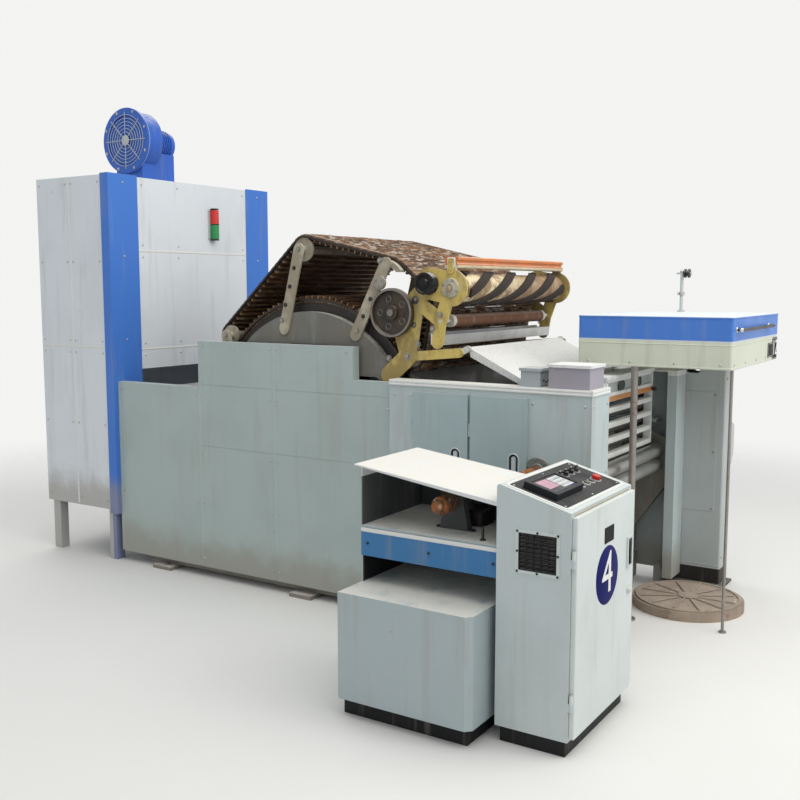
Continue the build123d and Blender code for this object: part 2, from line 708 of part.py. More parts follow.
def cover_side():
    """One middle and rear side cover, with the arched guard that stands above it."""
    front = casing_rear_y + 4
    outline = polygon((front, casing_low), (cover_rear_y, casing_low), (cover_rear_y, cover_low_top),
                      (cover_step_y, cover_low_top), (cover_step_y, cover_top),
                      (cover_front_step_y, cover_top), (cover_front_step_y, cover_front_top),
                      (front, cover_front_top))
    inner = polygon((front + sheet, casing_low - 1), (cover_rear_y - sheet, casing_low - 1),
                    (cover_rear_y - sheet, cover_low_top - sheet),
                    (cover_step_y - sheet, cover_low_top - sheet),
                    (cover_step_y - sheet, cover_top - sheet),
                    (cover_front_step_y + sheet, cover_top - sheet),
                    (cover_front_step_y + sheet, cover_front_top - sheet),
                    (front + sheet, cover_front_top - sheet))
    shell = prism_x(outline, casing_in, cover_out) - prism_x(inner, casing_in - 1, cover_out - sheet)
    for z in (740.0, 1077.0):
        shell = shell - block(cover_out - 1.5, cover_out + 1, front, cover_step_y, z - 2, z + 2)
    shell = shell - block(cover_out - 1.5, cover_out + 1, 170, 174, casing_low - 1, cover_top + 1)
    for y, z in ((front, 760.0), (1040.0, 560.0)):
        shell = shell + block(frame_out, cover_out - sheet, y, y + 60, z, z + 20)
    return shell


def utility_boxes():
    """The small housings that stand on the left front casing."""
    boxes = []
    x = -casing_out
    for x0, x1, y0, y1, top in ((x + 10, x + 170, casing_front_y + 16, utility_y[0], casing_top + 92),
                                (x + 20, x + 145, utility_y[1], front_y + 225, casing_top + 70)):
        body = block(x0, x1, y0, y1, casing_top, top)
        crown = block(x0 - 8, x1 + 8, y0 - 8, y1 + 8, top, top + 12)
        boxes.append(body + fillet(crown.edges().filter_by(Axis.Z), 6))
    return boxes


utility_y = (front_y + 88.0, front_y + 132.0)


def sensor_cable():
    """The lead between the two housings."""
    y0, y1 = utility_y
    x, z = -casing_out + 50, casing_top + 45
    route = [(x, y0, z), (x, y0 + 14, z), (x - 15, (y0 + y1) / 2, z - 25),
             (x, y1 - 14, z - 15), (x, y1, z - 15)]
    line = FilletPolyline(*route, radius=5.0)
    return sweep(Plane(origin=route[0], z_dir=(0, 1, 0)) * Circle(4.0), path=line)


def instrument_box():
    """The white box on the delivery front: a recessed grey face with two oval windows."""
    x0, x1 = instrument_x
    z0, z1 = instrument_z
    box = block(x0, x1, front_y, front_y + instrument_depth, z0, z1)
    box = box - block(x0 + 24, x1 - 24, front_y - 1, front_y + 8, z0 + 16, z1 - 16)
    for share in (0.32, 0.68):
        window = Plane.XZ.offset(-front_y + 1) * Pos(x0 + share * (x1 - x0), (z0 + z1) / 2) * \
            SlotOverall(92, 44)
        box = box - extrude(window, amount=-40)
    roof = block(x0 - 6, x1 + 6, front_y - 8, front_y + instrument_depth, z1, z1 + 14)
    return box + fillet(roof.edges().filter_by(Axis.Z), 5)


def web_rails():
    """White cross rails with dark guide rods behind them, between two cheek plates."""
    x0, x1 = instrument_x
    y_back = front_y + instrument_depth
    left = block(x0 - 12, x0, front_y + 6, y_back, 790, instrument_z[1] - 20)
    right = block(x1, x1 + 12, front_y + 6, y_back, 790, instrument_z[1] - 20)
    frame = left + right
    strip = block(x0, x1, front_y + 2, front_y + 30, instrument_z[0] - 26, instrument_z[0])
    frame = frame + strip
    for level in rail_levels:
        rail = Pos(front_y + 26, level) * RectangleRounded(38, 26, 6)
        frame = frame + prism_x(rail, x0 - 12, x1 + 12)
        frame = frame + rod_x(front_y + 64, level + 34, 14, x0 - 12, x1 + 12)
    for side, x_in in ((-1, x0 - 12), (1, x1 + 12)):
        inner, outer = sorted((x_in, side * (frame_out + 15)))
        frame = frame + block(inner, outer, y_back - 12, y_back, 900, 930)
    return frame


def feed_plate():
    """The dished plate below the feed roll, with a sheet that leads the fibre down to it."""
    y, z = feed_axis
    lip = chute_y[0] - 20.0
    outline = polygon((y - 62, z - 66), (y + 130, z - 66), (lip, 1000), (lip - 6, 1004),
                      (y + 120, z - 46), (y + 30, z - 30), (y - 40, z - 30))
    plate = prism_x(outline, -frame_in, frame_in)
    plate = plate - rod_x(*licker_axis, licker_r + 2.0, -frame_in - 1, frame_in + 1)
    return plate - rod_x(y, z, feed_roll_r + feed_plate_gap, -frame_in - 1, frame_in + 1)


def chute_body():
    """The reserve chute: a tall shell with an outlet at its foot and corner posts."""
    y0, y1 = chute_y
    z0, z1 = chute_z
    shell = block(-chute_half, chute_half, y0, y1, z0, z1)
    shell = shell - block(-chute_half + 12, chute_half - 12, y0 + 12, y1 - 12, z0 - 1, z1 - 12)
    shell = shell - block(-frame_in, frame_in, y0 - 1, y0 + 20, 640, 1120)
    for side in (-1, 1):
        a, b = sorted((side * (chute_half - strip_face), side * (chute_half + 5)))
        post = block(a, b, y0 - 5, y0, z0 - 20, z1 + 8)
        c, d = sorted((side * chute_half, side * (chute_half + 5)))
        wing = block(c, d, y0 - 5, y0 + 60, z0 - 20, z1 + 8)
        shell = shell + post + wing
        for y in (y0 + 30, y1 - 90):
            e, f = sorted((side * (chute_half - 70), side * (chute_half - 12)))
            shell = shell + block(e, f, y, y + 60, 0, z0 + 40)
    shell = shell - rod_z(0, spigot_y, spigot_r, z1 - 30, z1 + 30)
    spigot = Pos(0, spigot_y, z1 + 60) * (Cylinder(spigot_r + 6, 120) - Cylinder(spigot_r, 140))
    door = block(-260, 260, y1, y1 + 8, 900, 1700)
    return shell + spigot + door


def chute_fan():
    """The fan on the chute: a round housing with a rim, its motor and its stand."""
    y = chute_y[0] + 190
    z = chute_z[1] + 60 + fan_r
    x = -300.0
    house = rod_x(y, z, fan_r, x - 60, x + 60)
    rim = rod_x(y, z, fan_r + 16, x - 74, x - 54) - rod_x(y, z, fan_r - 26, x - 75, x - 62)
    motor = rod_x(y, z, 84, x + 60, x + 250)
    for i in range(9):
        fin = prism_x(Pos(y, z) * (Circle(92) - Circle(80)), x + 84 + 16 * i, x + 90 + 16 * i)
        motor = motor + fin
    stand = block(x - 50, x + 50, y - 110, y + 110, chute_z[1], z - fan_r + 40)
    bed = block(x + 60, x + 240, y - 80, y + 80, chute_z[1], z - 60)
    return house + rim + motor + stand + bed


def signal_lamp():
    """Red over green lamp on the chute's front."""
    x, y = 150.0, chute_y[0] - 26
    top = chute_z[1] - 149
    back = block(x - 36, x + 36, chute_y[0] - 8, chute_y[0], top - 186, top)
    lamps = rod_z(x, y, 26, top - 182, top - 97) + rod_z(x, y, 26, top - 89, top - 4)
    return back + lamps + rod_z(x, y, 20, top - 101, top - 81)


def drive_bay_case():
    """The drive housing behind the cabinet: sloped lid, open left side, plates and grey box."""
    x0, x1 = bay_x
    y0, y1 = bay_y
    lid = polygon((y0, bay_top[0]), (y1 + 20, bay_top[1]), (y1 + 20, bay_top[1] - sheet),
                  (y0, bay_top[0] - sheet - 10))
    case = prism_x(lid, x0 - 20, x1)
    case = case + block(x1 - sheet, x1, y0, y1, 60, bay_top[0] - sheet)
    case = case + block(x0, x1, y1 - sheet, y1, 60, bay_top[1] - sheet - 4)
    case = case + block(x0, x0 + 60, y0, y0 + sheet, 60, bay_top[0] - sheet)
    plate_low = bay_plate_top - bay_plate_thick
    case = case + block(x0, x1, y0, y1, plate_low, bay_plate_top)
    case = case + block(x0 - 4, x0 + 10, y0, y1, plate_low - bay_band, plate_low)
    case = case + block(x0, x1, y0 + 14, y1, plate_low - 40, plate_low + 2)
    box_x, box_y = x0 - bay_box_out, y0 + 30
    low_box = block(box_x, x1, box_y, y1, bay_box_low, bay_box_top)
    low_box = chamfer(low_box.edges().filter_by(Axis.Z).group_by(Axis.X)[0].group_by(Axis.Y)[0], 22)
    low_box = low_box - block(box_x + sheet, x1 - sheet, box_y + 25, y1 - sheet,
                              bay_box_low - 1, bay_box_top - sheet)
    plinth = block(box_x + 40, x1, box_y + 30, y1, 0, bay_box_low)
    plinth = plinth - block(box_x + 64, x1 - 24, box_y + 54, y1 - 24, -1, bay_box_low + 1)
    low_box = low_box + plinth + block(box_x + 30, x1, box_y + 20, box_y + 60, bay_box_low, bay_box_low + sheet)
    for x in (box_x + 30, x1 - 30):
        low_box = low_box + block(x, x + 30, box_y + 20, y1, bay_box_low, bay_box_low + sheet)
    duct = block(x1 - 1, -casing_out + sheet, casing_column_y + 22, casing_column_y + 58, 0, 40)
    case = case + low_box + duct
    return case - rod_x(*bay_shaft_axis, shaft_r + 4.0, x1 - sheet - 1, x1 + 1)


def bay_bearing():
    """The bracket with two cheeks that carries the cross shaft."""
    y, z = bay_shaft_axis
    pieces = None
    for x in (bay_x[0] + 120, bay_x[1] - 110):
        cheek = polygon((y - 60, bay_plate_top), (y + 60, bay_plate_top), (y + 40, z), (y - 40, z))
        cheek = prism_x(cheek, x, x + 34) + rod_x(y, z, 40, x, x + 34)
        pieces = cheek if pieces is None else pieces + cheek
    return pieces - rod_x(y, z, shaft_r + bearing_play, bay_x[0], bay_x[1])


def drive_shaft():
    """The rusty cross shaft with its coupling, from the bay to the machine's side."""
    y, z = bay_shaft_axis
    shaft = rod_x(y, z, shaft_r, bay_x[0] - 10, -casing_in - 20)
    shaft = shaft + rod_x(y, z, 30, bay_x[0] + 20, bay_x[0] + 100)
    return shaft + rod_x(y, z, 38, bay_x[1] - 60, bay_x[1] - 24)


def main_motor():
    """The cylinder's motor inside the right side cover, with ribs and feet."""
    y, z = motor_axis
    r = motor_r
    x0, x1 = motor_x
    motor = rod_x(y, z, r, x0, x1)
    for i in range(10):
        fin = prism_x(Pos(y, z) * (Circle(r + 9) - Circle(r - 3)), x0 + 12 + 20 * i, x0 + 18 + 20 * i)
        motor = motor + fin
    feet = block(x0 + 20, x1 - 20, y - 110, y + 110, beam_height, z - r + 14)
    beam_in = frame_in + frame_thick / 2 - beam_width / 2
    rail = block(x0 + 20, beam_in, y - 110, y + 110, beam_height - 20, beam_height)
    return motor + feet + rail


def motor_pulley():
    """The motor's pulley on its shaft."""
    x0, x1 = pulley_x
    return rod_x(*motor_axis, motor_pulley_r, x0, x1) + \
        rod_x(*motor_axis, motor_shaft_r, motor_x[1] + gap, x1 + 2)


def main_belt():
    """The flat belt round the motor's and the cylinder's pulleys."""
    around = [(motor_axis, motor_pulley_r, 1), (cylinder_axis, cylinder_pulley_r, 1)]
    inner = band_face([(c, r + gap, s) for c, r, s in around])
    outer = band_face([(c, r + gap + belt_thick, s) for c, r, s in around])
    return prism_x(outer - inner, pulley_x[0] + 1, pulley_x[1] - 1)


def cabinet_outline(inset=0.0):
    y0, y1 = cabinet_y
    slope = (cabinet_rear_top - cabinet_front_top) / (y1 - y0)
    return polygon((y0 + inset, cabinet_low + inset), (y1 - inset, cabinet_low + inset),
                   (y1 - inset, cabinet_rear_top - inset * (1 + slope)),
                   (y0 + inset, cabinet_front_top - inset * (1 - slope)))


panel_tilt = math.degrees(math.atan2(cabinet_rear_top - cabinet_front_top, cabinet_y[1] - cabinet_y[0]))
panel_middle = ((cabinet_x[0] + cabinet_x[1]) / 2, (cabinet_y[0] + cabinet_y[1]) / 2,
                (cabinet_front_top + cabinet_rear_top) / 2)
panel_plane = Plane(origin=panel_middle, x_dir=(1, 0, 0),
                    z_dir=(0, -math.sin(math.radians(panel_tilt)), math.cos(math.radians(panel_tilt))))
panel_recess = 4.0
door_hinge_x = cabinet_x[0] + 10 - hinge_reach
door_hinge_y = cabinet_y[0] - 10.0
cabinet_levels = (200.0, 700.0)
vent = (-1746.0, 705.0, 136.0, 126.0)
small_vent = (-1728.0, 250.0, 90.0, 110.0)
switch_centre = (-1740.0, 420.0)
knob_places = [(40.0 + 50 * i, 52.0) for i in range(4)]
stop_place = (180.0, -38.0)
stop_r = 16.0
panel_holes = [(*place, knob_r * 0.5) for place in knob_places[:3]] + [(*stop_place, stop_r * 0.4)]


def cabinet_shell():
    """The control cabinet's welded sheets, the frame round its doorway, and its recessed plinth."""
    x0, x1 = cabinet_x
    y0, y1 = cabinet_y
    shell = prism_x(cabinet_outline(), x0, x1)
    shell = fillet(shell.edges().filter_by(Axis.X).group_by(Axis.Z)[-1], 10)
    shell = shell - prism_x(cabinet_outline(sheet), x0 + sheet, x1 - sheet)
    shell = shell - block(x0 + sheet, x1 - sheet, y0 - 1, y0 + sheet + 1, cabinet_low + sheet,
                          cabinet_front_top - sheet)
    doorway = block(x0 + sheet, x1 - sheet, y0, y0 + sheet, cabinet_low + sheet, cabinet_front_top - sheet - 1)
    doorway = doorway - block(x0 + 22, x1 - 22, y0 - 1, y0 + sheet + 1, cabinet_low + 24,
                              cabinet_front_top - 30)
    recess = panel_plane * Box(x1 - x0 - 60, y1 - y0 - 50, 2 * panel_recess)
    shell = shell - recess
    for x, z, r in panel_holes:
        shell = shell - panel_plane * Pos(x, z, 0) * Cylinder(r + bearing_play, 40)
    y, z, wide, high = vent
    shell = shell - block(x0 - 1, x0 + sheet + 1, y - wide / 2, y + wide / 2, z - high / 2, z + high / 2)
    y, z, wide, high = small_vent
    shell = shell - block(x1 - sheet - 1, x1 + 1, y - wide / 2, y + wide / 2, z - high / 2, z + high / 2)
    y, z = switch_centre
    shell = shell - rod_x(y, z, switch_stem_r + bearing_play, x1 - sheet - 1, x1 + 1)
    plinth = block(x0 + 16, x1 - 16, y0 + 14, y1 - 14, 0, cabinet_low)
    plinth = plinth - block(x0 + 40, x1 - 40, y0 + 40, y1 - 40, -1, cabinet_low + 1)
    fixed, moving = knuckles(door_hinge_x, door_hinge_y, cabinet_levels)
    for level in cabinet_levels:
        fixed = fixed + block(x0, door_hinge_x + 3, door_hinge_y, y0, level - knuckle_length, level)
    low, high = cabinet_low + sheet, cabinet_rear_top + 1
    bottom = shell & block(x0, x1, y0, y1, cabinet_low, low)
    back = shell & block(x0, x1, y1 - sheet, y1, low, high)
    left = shell & block(x0, x0 + sheet, y0, y1 - sheet, low, high)
    right = shell & block(x1 - sheet, x1, y0, y1 - sheet, low, high)
    top = shell & block(x0 + sheet, x1 - sheet, y0, y1 - sheet, low, high)
    return [left + fixed, right, back, bottom, top, doorway, plinth]


def vent_grilles():
    """The two screwed mesh vents: a frame with a lattice of bars."""
    grilles = []
    for (y, z, wide, high), x, side, columns, rows in ((vent, cabinet_x[0], -1, 5, 9),
                                                       (small_vent, cabinet_x[1], 1, 3, 4)):
        a, b = sorted((x, x + side * 3))
        plate = block(a, b, y - wide / 2 - 14, y + wide / 2 + 14, z - high / 2 - 14, z + high / 2 + 14)
        hole_w, hole_h = wide / columns - 5, high / rows - 5
        for i in range(columns):
            for j in range(rows):
                hy = y - wide / 2 + (i + 0.5) * wide / columns
                hz = z - high / 2 + (j + 0.5) * high / rows
                plate = plate - block(a - 1, b + 1, hy - hole_w / 2, hy + hole_w / 2,
                                      hz - hole_h / 2, hz + hole_h / 2)
        grilles.append(plate)
    return grilles


def cabinet_door():
    """The cabinet's pan door: hinge knuckles at its left, a long handle and a lock at its right."""
    x0, x1 = cabinet_x[0] + 10, cabinet_x[1] - 10
    y_back = cabinet_y[0] - door_seat
    door = block(x0, x1, y_back - cabinet_door_thick, y_back, cabinet_low + 12, cabinet_front_top - 16)
    door = fillet(door.edges().filter_by(Axis.Z).group_by(Axis.Y)[0], 5)
    door = door - block(x0 + sheet, x1 - sheet, y_back - cabinet_door_thick + sheet, y_back + 1,
                        cabinet_low + 12 + sheet, cabinet_front_top - 16 - sheet)
    front = y_back - cabinet_door_thick
    grip_low, grip_high = cabinet_front_top - 300, cabinet_front_top - 182
    lock_height = grip_low - 92
    handle = block(x1 - 80, x1 - 28, front - 6, front, grip_low, grip_high)
    handle = handle - block(x1 - 71, x1 - 37, front - 7, front - 1.5, grip_low + 9, grip_high - 9)
    handle = handle + block(x1 - 60, x1 - 48, front - 9, front - 1, grip_low + 16, grip_high - 16)
    fixed, moving = knuckles(door_hinge_x, door_hinge_y, cabinet_levels)
    for level in cabinet_levels:
        moving = moving + block(door_hinge_x + hinge_pin_r + 1, x0 + 1, door_hinge_y - 5, door_hinge_y + 3,
                                level + gap, level + gap + knuckle_length)
    return door + handle + rod_y(x1 - 54, lock_height, 9, front - 6, front) + moving


def display_unit():
    """The dark panel plate let into the sloped top, with its raised display housing."""
    x0, x1 = cabinet_x
    y0, y1 = cabinet_y
    plate = panel_plane * Pos(0, 0, -panel_recess / 2) * Box(x1 - x0 - 62, y1 - y0 - 52, panel_recess)
    case = panel_plane * Pos(-120, 4, 13) * Box(230, 130, 26)
    case = case - panel_plane * Pos(-120, 4, 26) * Box(196, 96, 6)
    for x, z, r in panel_holes:
        plate = plate - panel_plane * Pos(x, z, 0) * Cylinder(r + bearing_play, 40)
    return [plate, case]


def knob(place):
    """A rotary knob with a grip bar across its cap."""
    x, z = place
    cap = Pos(x, z, gap + 7) * Cylinder(knob_r, 14)
    grip = Pos(x, z, gap + 18) * Box(2 * knob_r - 4, 7, 9)
    stem = Pos(x, z, -8) * Cylinder(knob_r * 0.5, 18)
    return panel_plane * (cap + grip + stem)


def push_button(place, r, proud):
    """A push button on its stem, standing above the panel by its travel and a little."""
    x, z = place
    cap = Pos(x, z, 5 + proud / 2) * Cylinder(r, proud)
    stem = Pos(x, z, -6) * Cylinder(r * 0.4, 24)
    return panel_plane * (cap + stem)


def main_switch():
    """The rotary main switch on the cabinet's right side."""
    y, z = switch_centre
    x = cabinet_x[1]
    dial = rod_x(y, z, switch_r, x + gap, x + 12)
    grip = block(x + 12, x + 30, y - 8, y + 8, z - switch_r + 4, z + switch_r - 4)
    return dial + grip + rod_x(y, z, switch_stem_r, x - 14, x + 6)


def head_box():
    """The coiler head's cream box, open below the lid, its floor pierced for the coiler plate."""
    x0, x1 = head_x
    y0, y1 = head_y
    z0, z1 = head_z
    box = block(x0, x1, y0, y1, z0, z1)
    box = fillet(box.edges().filter_by(Axis.Z), 12)
    box = box - block(x0 + sheet, x1 - sheet, y0 + sheet, y1 - sheet, z0 + 8, z1 + 1)
    box = box - rod_z(can_x, can_y, coiler_r + 2, z0 - 1, z0 + 9)
    rim = Pos(can_x, can_y, z0 + 14) * (Cylinder(coiler_r + 16, 12) - Cylinder(coiler_r + 2, 14))
    hinge_y, hinge_z = lid_hinge
    for x in (x0 + 90, x1 - 150):
        lug = block(x, x + 26, y1, y1 + 17.5, z1 - 30, z1) + rod_x(hinge_y, hinge_z, 8.5, x, x + 26)
        lug = lug + block(x, x + 26, hinge_y - 5, hinge_y + 8.5, z1 - 2, hinge_z)
        rim = rim + (lug - rod_x(hinge_y, hinge_z, lid_pin_r + bearing_play, x - 1, x + 27))
    return box + rim


def head_lid():
    """The blue lid: a deep tray with a lighter top, on pins at its machine side."""
    x0, x1 = head_x
    y0, y1 = head_y
    z0 = head_z[1] + gap
    lid = block(x0, x1, y0, y1, z0, lid_top)
    lid = fillet(lid.edges().filter_by(Axis.Z), 12)
    lid = lid - block(x0 + sheet, x1 - sheet, y0 + sheet, y1 - sheet, z0 - 1, lid_top - sheet)
    for x in (x0 + 90, x1 - 150):
        ear = block(x + 26 + gap, x + 40, y1, y1 + 14, z0, z0 + 16)
        lid = lid + ear + rod_x(*lid_hinge, lid_pin_r, x, x + 40)
    return lid


def lid_handle():
    """The bar handle along the lid's aisle face, on two standoffs."""
    x0 = head_x[0] + 0.05 * (head_x[1] - head_x[0])
    x1 = head_x[0] + 0.77 * (head_x[1] - head_x[0])
    y, z = head_y[0] - 26, (head_z[1] + lid_top) / 2
    bar = rod_x(y, z, 8, x0, x1)
    for x in (x0 + 14, x1 - 14):
        bar = bar + rod_y(x, z, 7, y, head_y[0])
    return bar


def guide_pole():
    """The sliver guide's pole with its cross-arm, standing on the lid."""
    pole = rod_z(pole_x, pole_y, 9, lid_top, lid_top + pole_height)
    pole = pole + rod_z(pole_x, pole_y, 20, lid_top, lid_top + 8)
    arm = rod_y(pole_x, lid_top + pole_height - 8, 5, pole_y - 46, pole_y + 30)
    return pole + arm


def guide_pulley():
    """The grooved guide pulley on the cross-arm."""
    z = lid_top + pole_height - 8
    y = pole_y - 28
    wheel = rod_y(pole_x, z, pulley_r, y - 14, y + 14)
    groove = rod_y(pole_x, z, pulley_r + 1, y - 6, y + 6) - rod_y(pole_x, z, pulley_r - 10, y - 7, y + 7)
    return wheel - groove - rod_y(pole_x, z, 5 + bearing_play, y - 20, y + 20)


def column():
    """The coiler's column: a hollow housing with a foot plate, open into the head."""
    x0, x1 = column_x
    y0, y1 = column_y
    top = head_z[0]
    body = block(x0, x1, y0, y1, 0, top)
    body = fillet(body.edges().filter_by(Axis.Z), 10)
    body = body - block(x0 + 8, x1 - 8, y0 + 8, y1 - 8, 20, top + 1)
    for x in (x0 - 1, x1 - 9):
        slot = Pos((y0 + y1) / 2 + 30, top - 70) * SlotOverall(70, 24)
        body = body - prism_x(slot, x, x + 10)
    foot = block(x0 - 30, x1 + 30, y0 - 20, y1 + 8, 0, 12)
    flange = block(x0 - 18, x1 - 12, y0 - 12, y1 + 6, top - 12, top) - \
        block(x0 + 8, x1 - 8, y0 + 8, y1 - 8, top - 20, top + 1)
    return body + foot + flange


def gear_guard():
    """The slanted guard on the column's outer side."""
    y0, y1 = column_y
    x = column_x[1]
    outline = Plane.XZ.offset(-y0 - 20) * polygon((x, 600), (x + 90, 640), (x + 130, 700), (x + 130, 850),
                                                  (x, 910))
    guard = extrude(outline, amount=-(y1 - y0 - 40))
    return fillet(guard.edges().filter_by(Axis.Y).group_by(Axis.X)[-1], 12)


def support_posts():
    """The pipe below the head's rear corner and the thin rod at its front corner."""
    pipe = rod_z(*post_place, post_r, 0, head_z[0]) + rod_z(*post_place, 34, 0, 8)
    rod = rod_z(*rod_place, rod_r, 0, head_z[0]) + rod_z(*rod_place, 18, 0, 6)
    return [pipe, rod]


def can_base():
    """The round bed plate below the turntable, tied to the column's foot."""
    bed = rod_z(can_x, can_y, turntable_r + 14, 0, turntable_z[0] - 4)
    tie = block(can_x, column_x[0] - 30, can_y - 70, can_y + 70, 0, 14)
    rim = rod_z(can_x, can_y, turntable_r + 14, turntable_z[0] - 4, turntable_z[1] - 8) - \
        rod_z(can_x, can_y, turntable_r + 1, turntable_z[0] - 5, turntable_z[1])
    return bed + tie + rim + rod_z(can_x, can_y, pivot_r, turntable_z[0] - 4, turntable_z[0] + 8)


def turntable():
    """The disc that turns the can: a raised edge, and a blind bore for its pivot."""
    z0, z1 = turntable_z
    disc = rod_z(can_x, can_y, turntable_r, z0 - 4 + gap, z1)
    disc = disc - rod_z(can_x, can_y, pivot_r + bearing_play, z0 - 5, z0 + 10)
    return disc - rod_z(can_x, can_y, turntable_r - 14, z1 - 5, z1 + 1)


def coiler_plate():
    """The turning plate that lays the sliver, with its slanted tube and drive hub."""
    z0 = head_z[0]
    plate = rod_z(can_x, can_y, coiler_r, z0 - 4, z0 + 8)
    flange = rod_z(can_x, can_y, coiler_r + 12, z0 + 20 + gap, z0 + 30) + \
        rod_z(can_x, can_y, coiler_r - 2, z0 + 8, z0 + 30)
    flange = flange - rod_z(can_x, can_y, coiler_r - 30, z0 + 8, z0 + 31)
    tube = Pos(can_x - 40, can_y, z0 + 44) * Rot(0, 40, 0) * Cylinder(24, 90)
    hub = rod_z(can_x, can_y, 40, z0 + 8, z0 + 90)
    bore = Pos(can_x - 40, can_y, z0 + 44) * Rot(0, 40, 0) * Cylinder(17, 200)
    return plate + flange + tube + hub - bore


def build():
    """Every node of the machine, by name."""
    front_door = (door_front_y, door_split_y - door_gap / 2)
    rear_door = (door_split_y + door_gap / 2, door_rear_y)
    wide_door = (door_front_y, door_rear_y)
    nodes = {
        "base_frame": [base_frame()],
        "side_frames": both_sides(side_frame()),
        "flexible_bends": both_sides(flexible_bend()),
        "flat_bars": flat_bars(),
        "flat_chains": both_sides(flat_chain()),
        "flat_guides": flat_guides(),
        "drum_frame": [drum_frame()],
        "clearer_bar": [clearer_bar()],
        "strip_trough": [strip_trough()],
        "instrument_box": [instrument_box()],
        "web_rails": [web_rails()],
        "side_casings": [casing_side(-1, [front_door, rear_door]), casing_side(1, [wide_door])],
        "side_covers": both_sides(cover_side()),
        "utility_boxes": utility_boxes(),
        "sensor_cable": [sensor_cable()],
        "chute_body": [chute_body()],
        "chute_fan": [chute_fan()],
        "signal_lamp": [signal_lamp()],
        "feed_plate": [feed_plate()],
        "drive_bay_case": [drive_bay_case() + bay_bearing()],
        "main_motor": [main_motor()],
        "main_belt": [main_belt()],
        "cabinet_shell": cabinet_shell(),
        "vent_grilles": vent_grilles(),
        "display_unit": display_unit(),
        "head_box": [head_box()],
        "column": [column()],
        "gear_guard": [gear_guard()],
        "support_posts": support_posts(),
        "can_base": [can_base()],
        "cylinder": [cylinder()],
        "doffer": [doffer()],
        "licker_in": [licker_in()],
        "feed_roll": [plain_roll(feed_axis, feed_roll_r, 9)],
        "stripping_roll": [plain_roll(stripping_axis, stripping_r)],
        "crush_roll_upper": [plain_roll(crush_high_axis, crush_r)],
        "crush_roll_lower": [plain_roll(crush_low_axis, crush_r)],
        "spiral_drum": [spiral_drum()],
        "clearer_roll": [clearer_roll()],
        "cleaner_roller": [brown_cleaner()],
        "doffer_hood": [doffer_hood()],
        "side_door_left_front": [side_door(-1, *front_door)],
        "side_door_left_rear": [side_door(-1, *rear_door)],
        "side_door_right": [side_door(1, *wide_door)],
        "cabinet_door": [cabinet_door()],
        "main_switch": [main_switch()],
        "stop_button": [push_button(stop_place, stop_r, 12.0)],
        "flat_wheels_front": [wheel_shaft(front_top, turn_r)],
        "flats_drive_wheel": [flats_drive_wheel()],
        "head_lid": [head_lid()],
        "lid_handle": [lid_handle()],
        "guide_pole": [guide_pole()],
        "guide_pulley": [guide_pulley()],
        "coiler_plate": [coiler_plate()],
        "turntable": [turntable()],
        "drive_shaft": [drive_shaft()],
        "motor_pulley": [motor_pulley()],
    }
    for i, place in enumerate(knob_places[:3]):
        nodes[f"knob_{i + 1}"] = [knob(place)]
    return nodes


os.makedirs("parts", exist_ok=True)
for node, solids in build().items():
    pieces = [solid for shape in solids for solid in shape.solids()]
    shape = pieces[0] if len(pieces) == 1 else Compound(children=pieces)
    export_step(shape, f"parts/{node}.step")
    print(node, len(pieces))
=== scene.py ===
"""Looks of the revolving-flat carding machine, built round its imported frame.

Metres. +X is to the right for someone facing the delivery end, +Y runs to the feed end, +Z is up.
"""

from __future__ import annotations

import logging
import math
from dataclasses import dataclass, field
from enum import Enum
from itertools import product
from typing import ClassVar, Iterable, Sequence

import bmesh
import bpy
import numpy as np
from mathutils import Matrix, Vector

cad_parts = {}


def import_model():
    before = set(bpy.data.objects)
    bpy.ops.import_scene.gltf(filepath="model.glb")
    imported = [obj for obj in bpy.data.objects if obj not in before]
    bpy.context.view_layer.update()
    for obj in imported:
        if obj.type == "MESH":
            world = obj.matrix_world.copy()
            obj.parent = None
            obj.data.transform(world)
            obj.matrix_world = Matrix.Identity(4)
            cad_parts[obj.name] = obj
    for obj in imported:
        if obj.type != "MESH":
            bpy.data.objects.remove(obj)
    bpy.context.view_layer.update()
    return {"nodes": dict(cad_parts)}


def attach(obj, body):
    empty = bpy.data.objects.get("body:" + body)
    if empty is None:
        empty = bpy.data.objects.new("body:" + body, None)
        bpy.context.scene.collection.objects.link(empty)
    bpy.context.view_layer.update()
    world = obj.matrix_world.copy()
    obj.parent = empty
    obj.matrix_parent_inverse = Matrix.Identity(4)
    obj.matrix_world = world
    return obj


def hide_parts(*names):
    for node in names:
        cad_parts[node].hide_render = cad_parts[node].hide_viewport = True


log = logging.getLogger("carding_machine")

Colour = tuple[float, float, float]
Point = tuple[float, float, float]
Socket = bpy.types.NodeSocket

# Directions of the frame: back is toward the feed end, front toward the aisle
RIGHT, LEFT, BACK, FRONT, UP = (1, 0, 0), (-1, 0, 0), (0, 1, 0), (0, -1, 0), (0, 0, 1)
# Width over which one colour passes into the next at a painted edge, in metres
PAINT_EDGE = 0.0015
# Height of the cylinder's axis, which the flats' path runs round
CYLINDER_HEIGHT = 0.88
# Axis (y, z) of the spiral stripping drum
DRUM_AXIS = (-0.83959, 1.59905)
# Upright axis (x, y) of the coiler plate and of the turntable below it
COILER_AXIS = (0.29, -1.725)


class Axis(Enum):
    """The three directions of the machine's frame."""

    X = 0
    Y = 1
    Z = 2


# Node trees and finishes


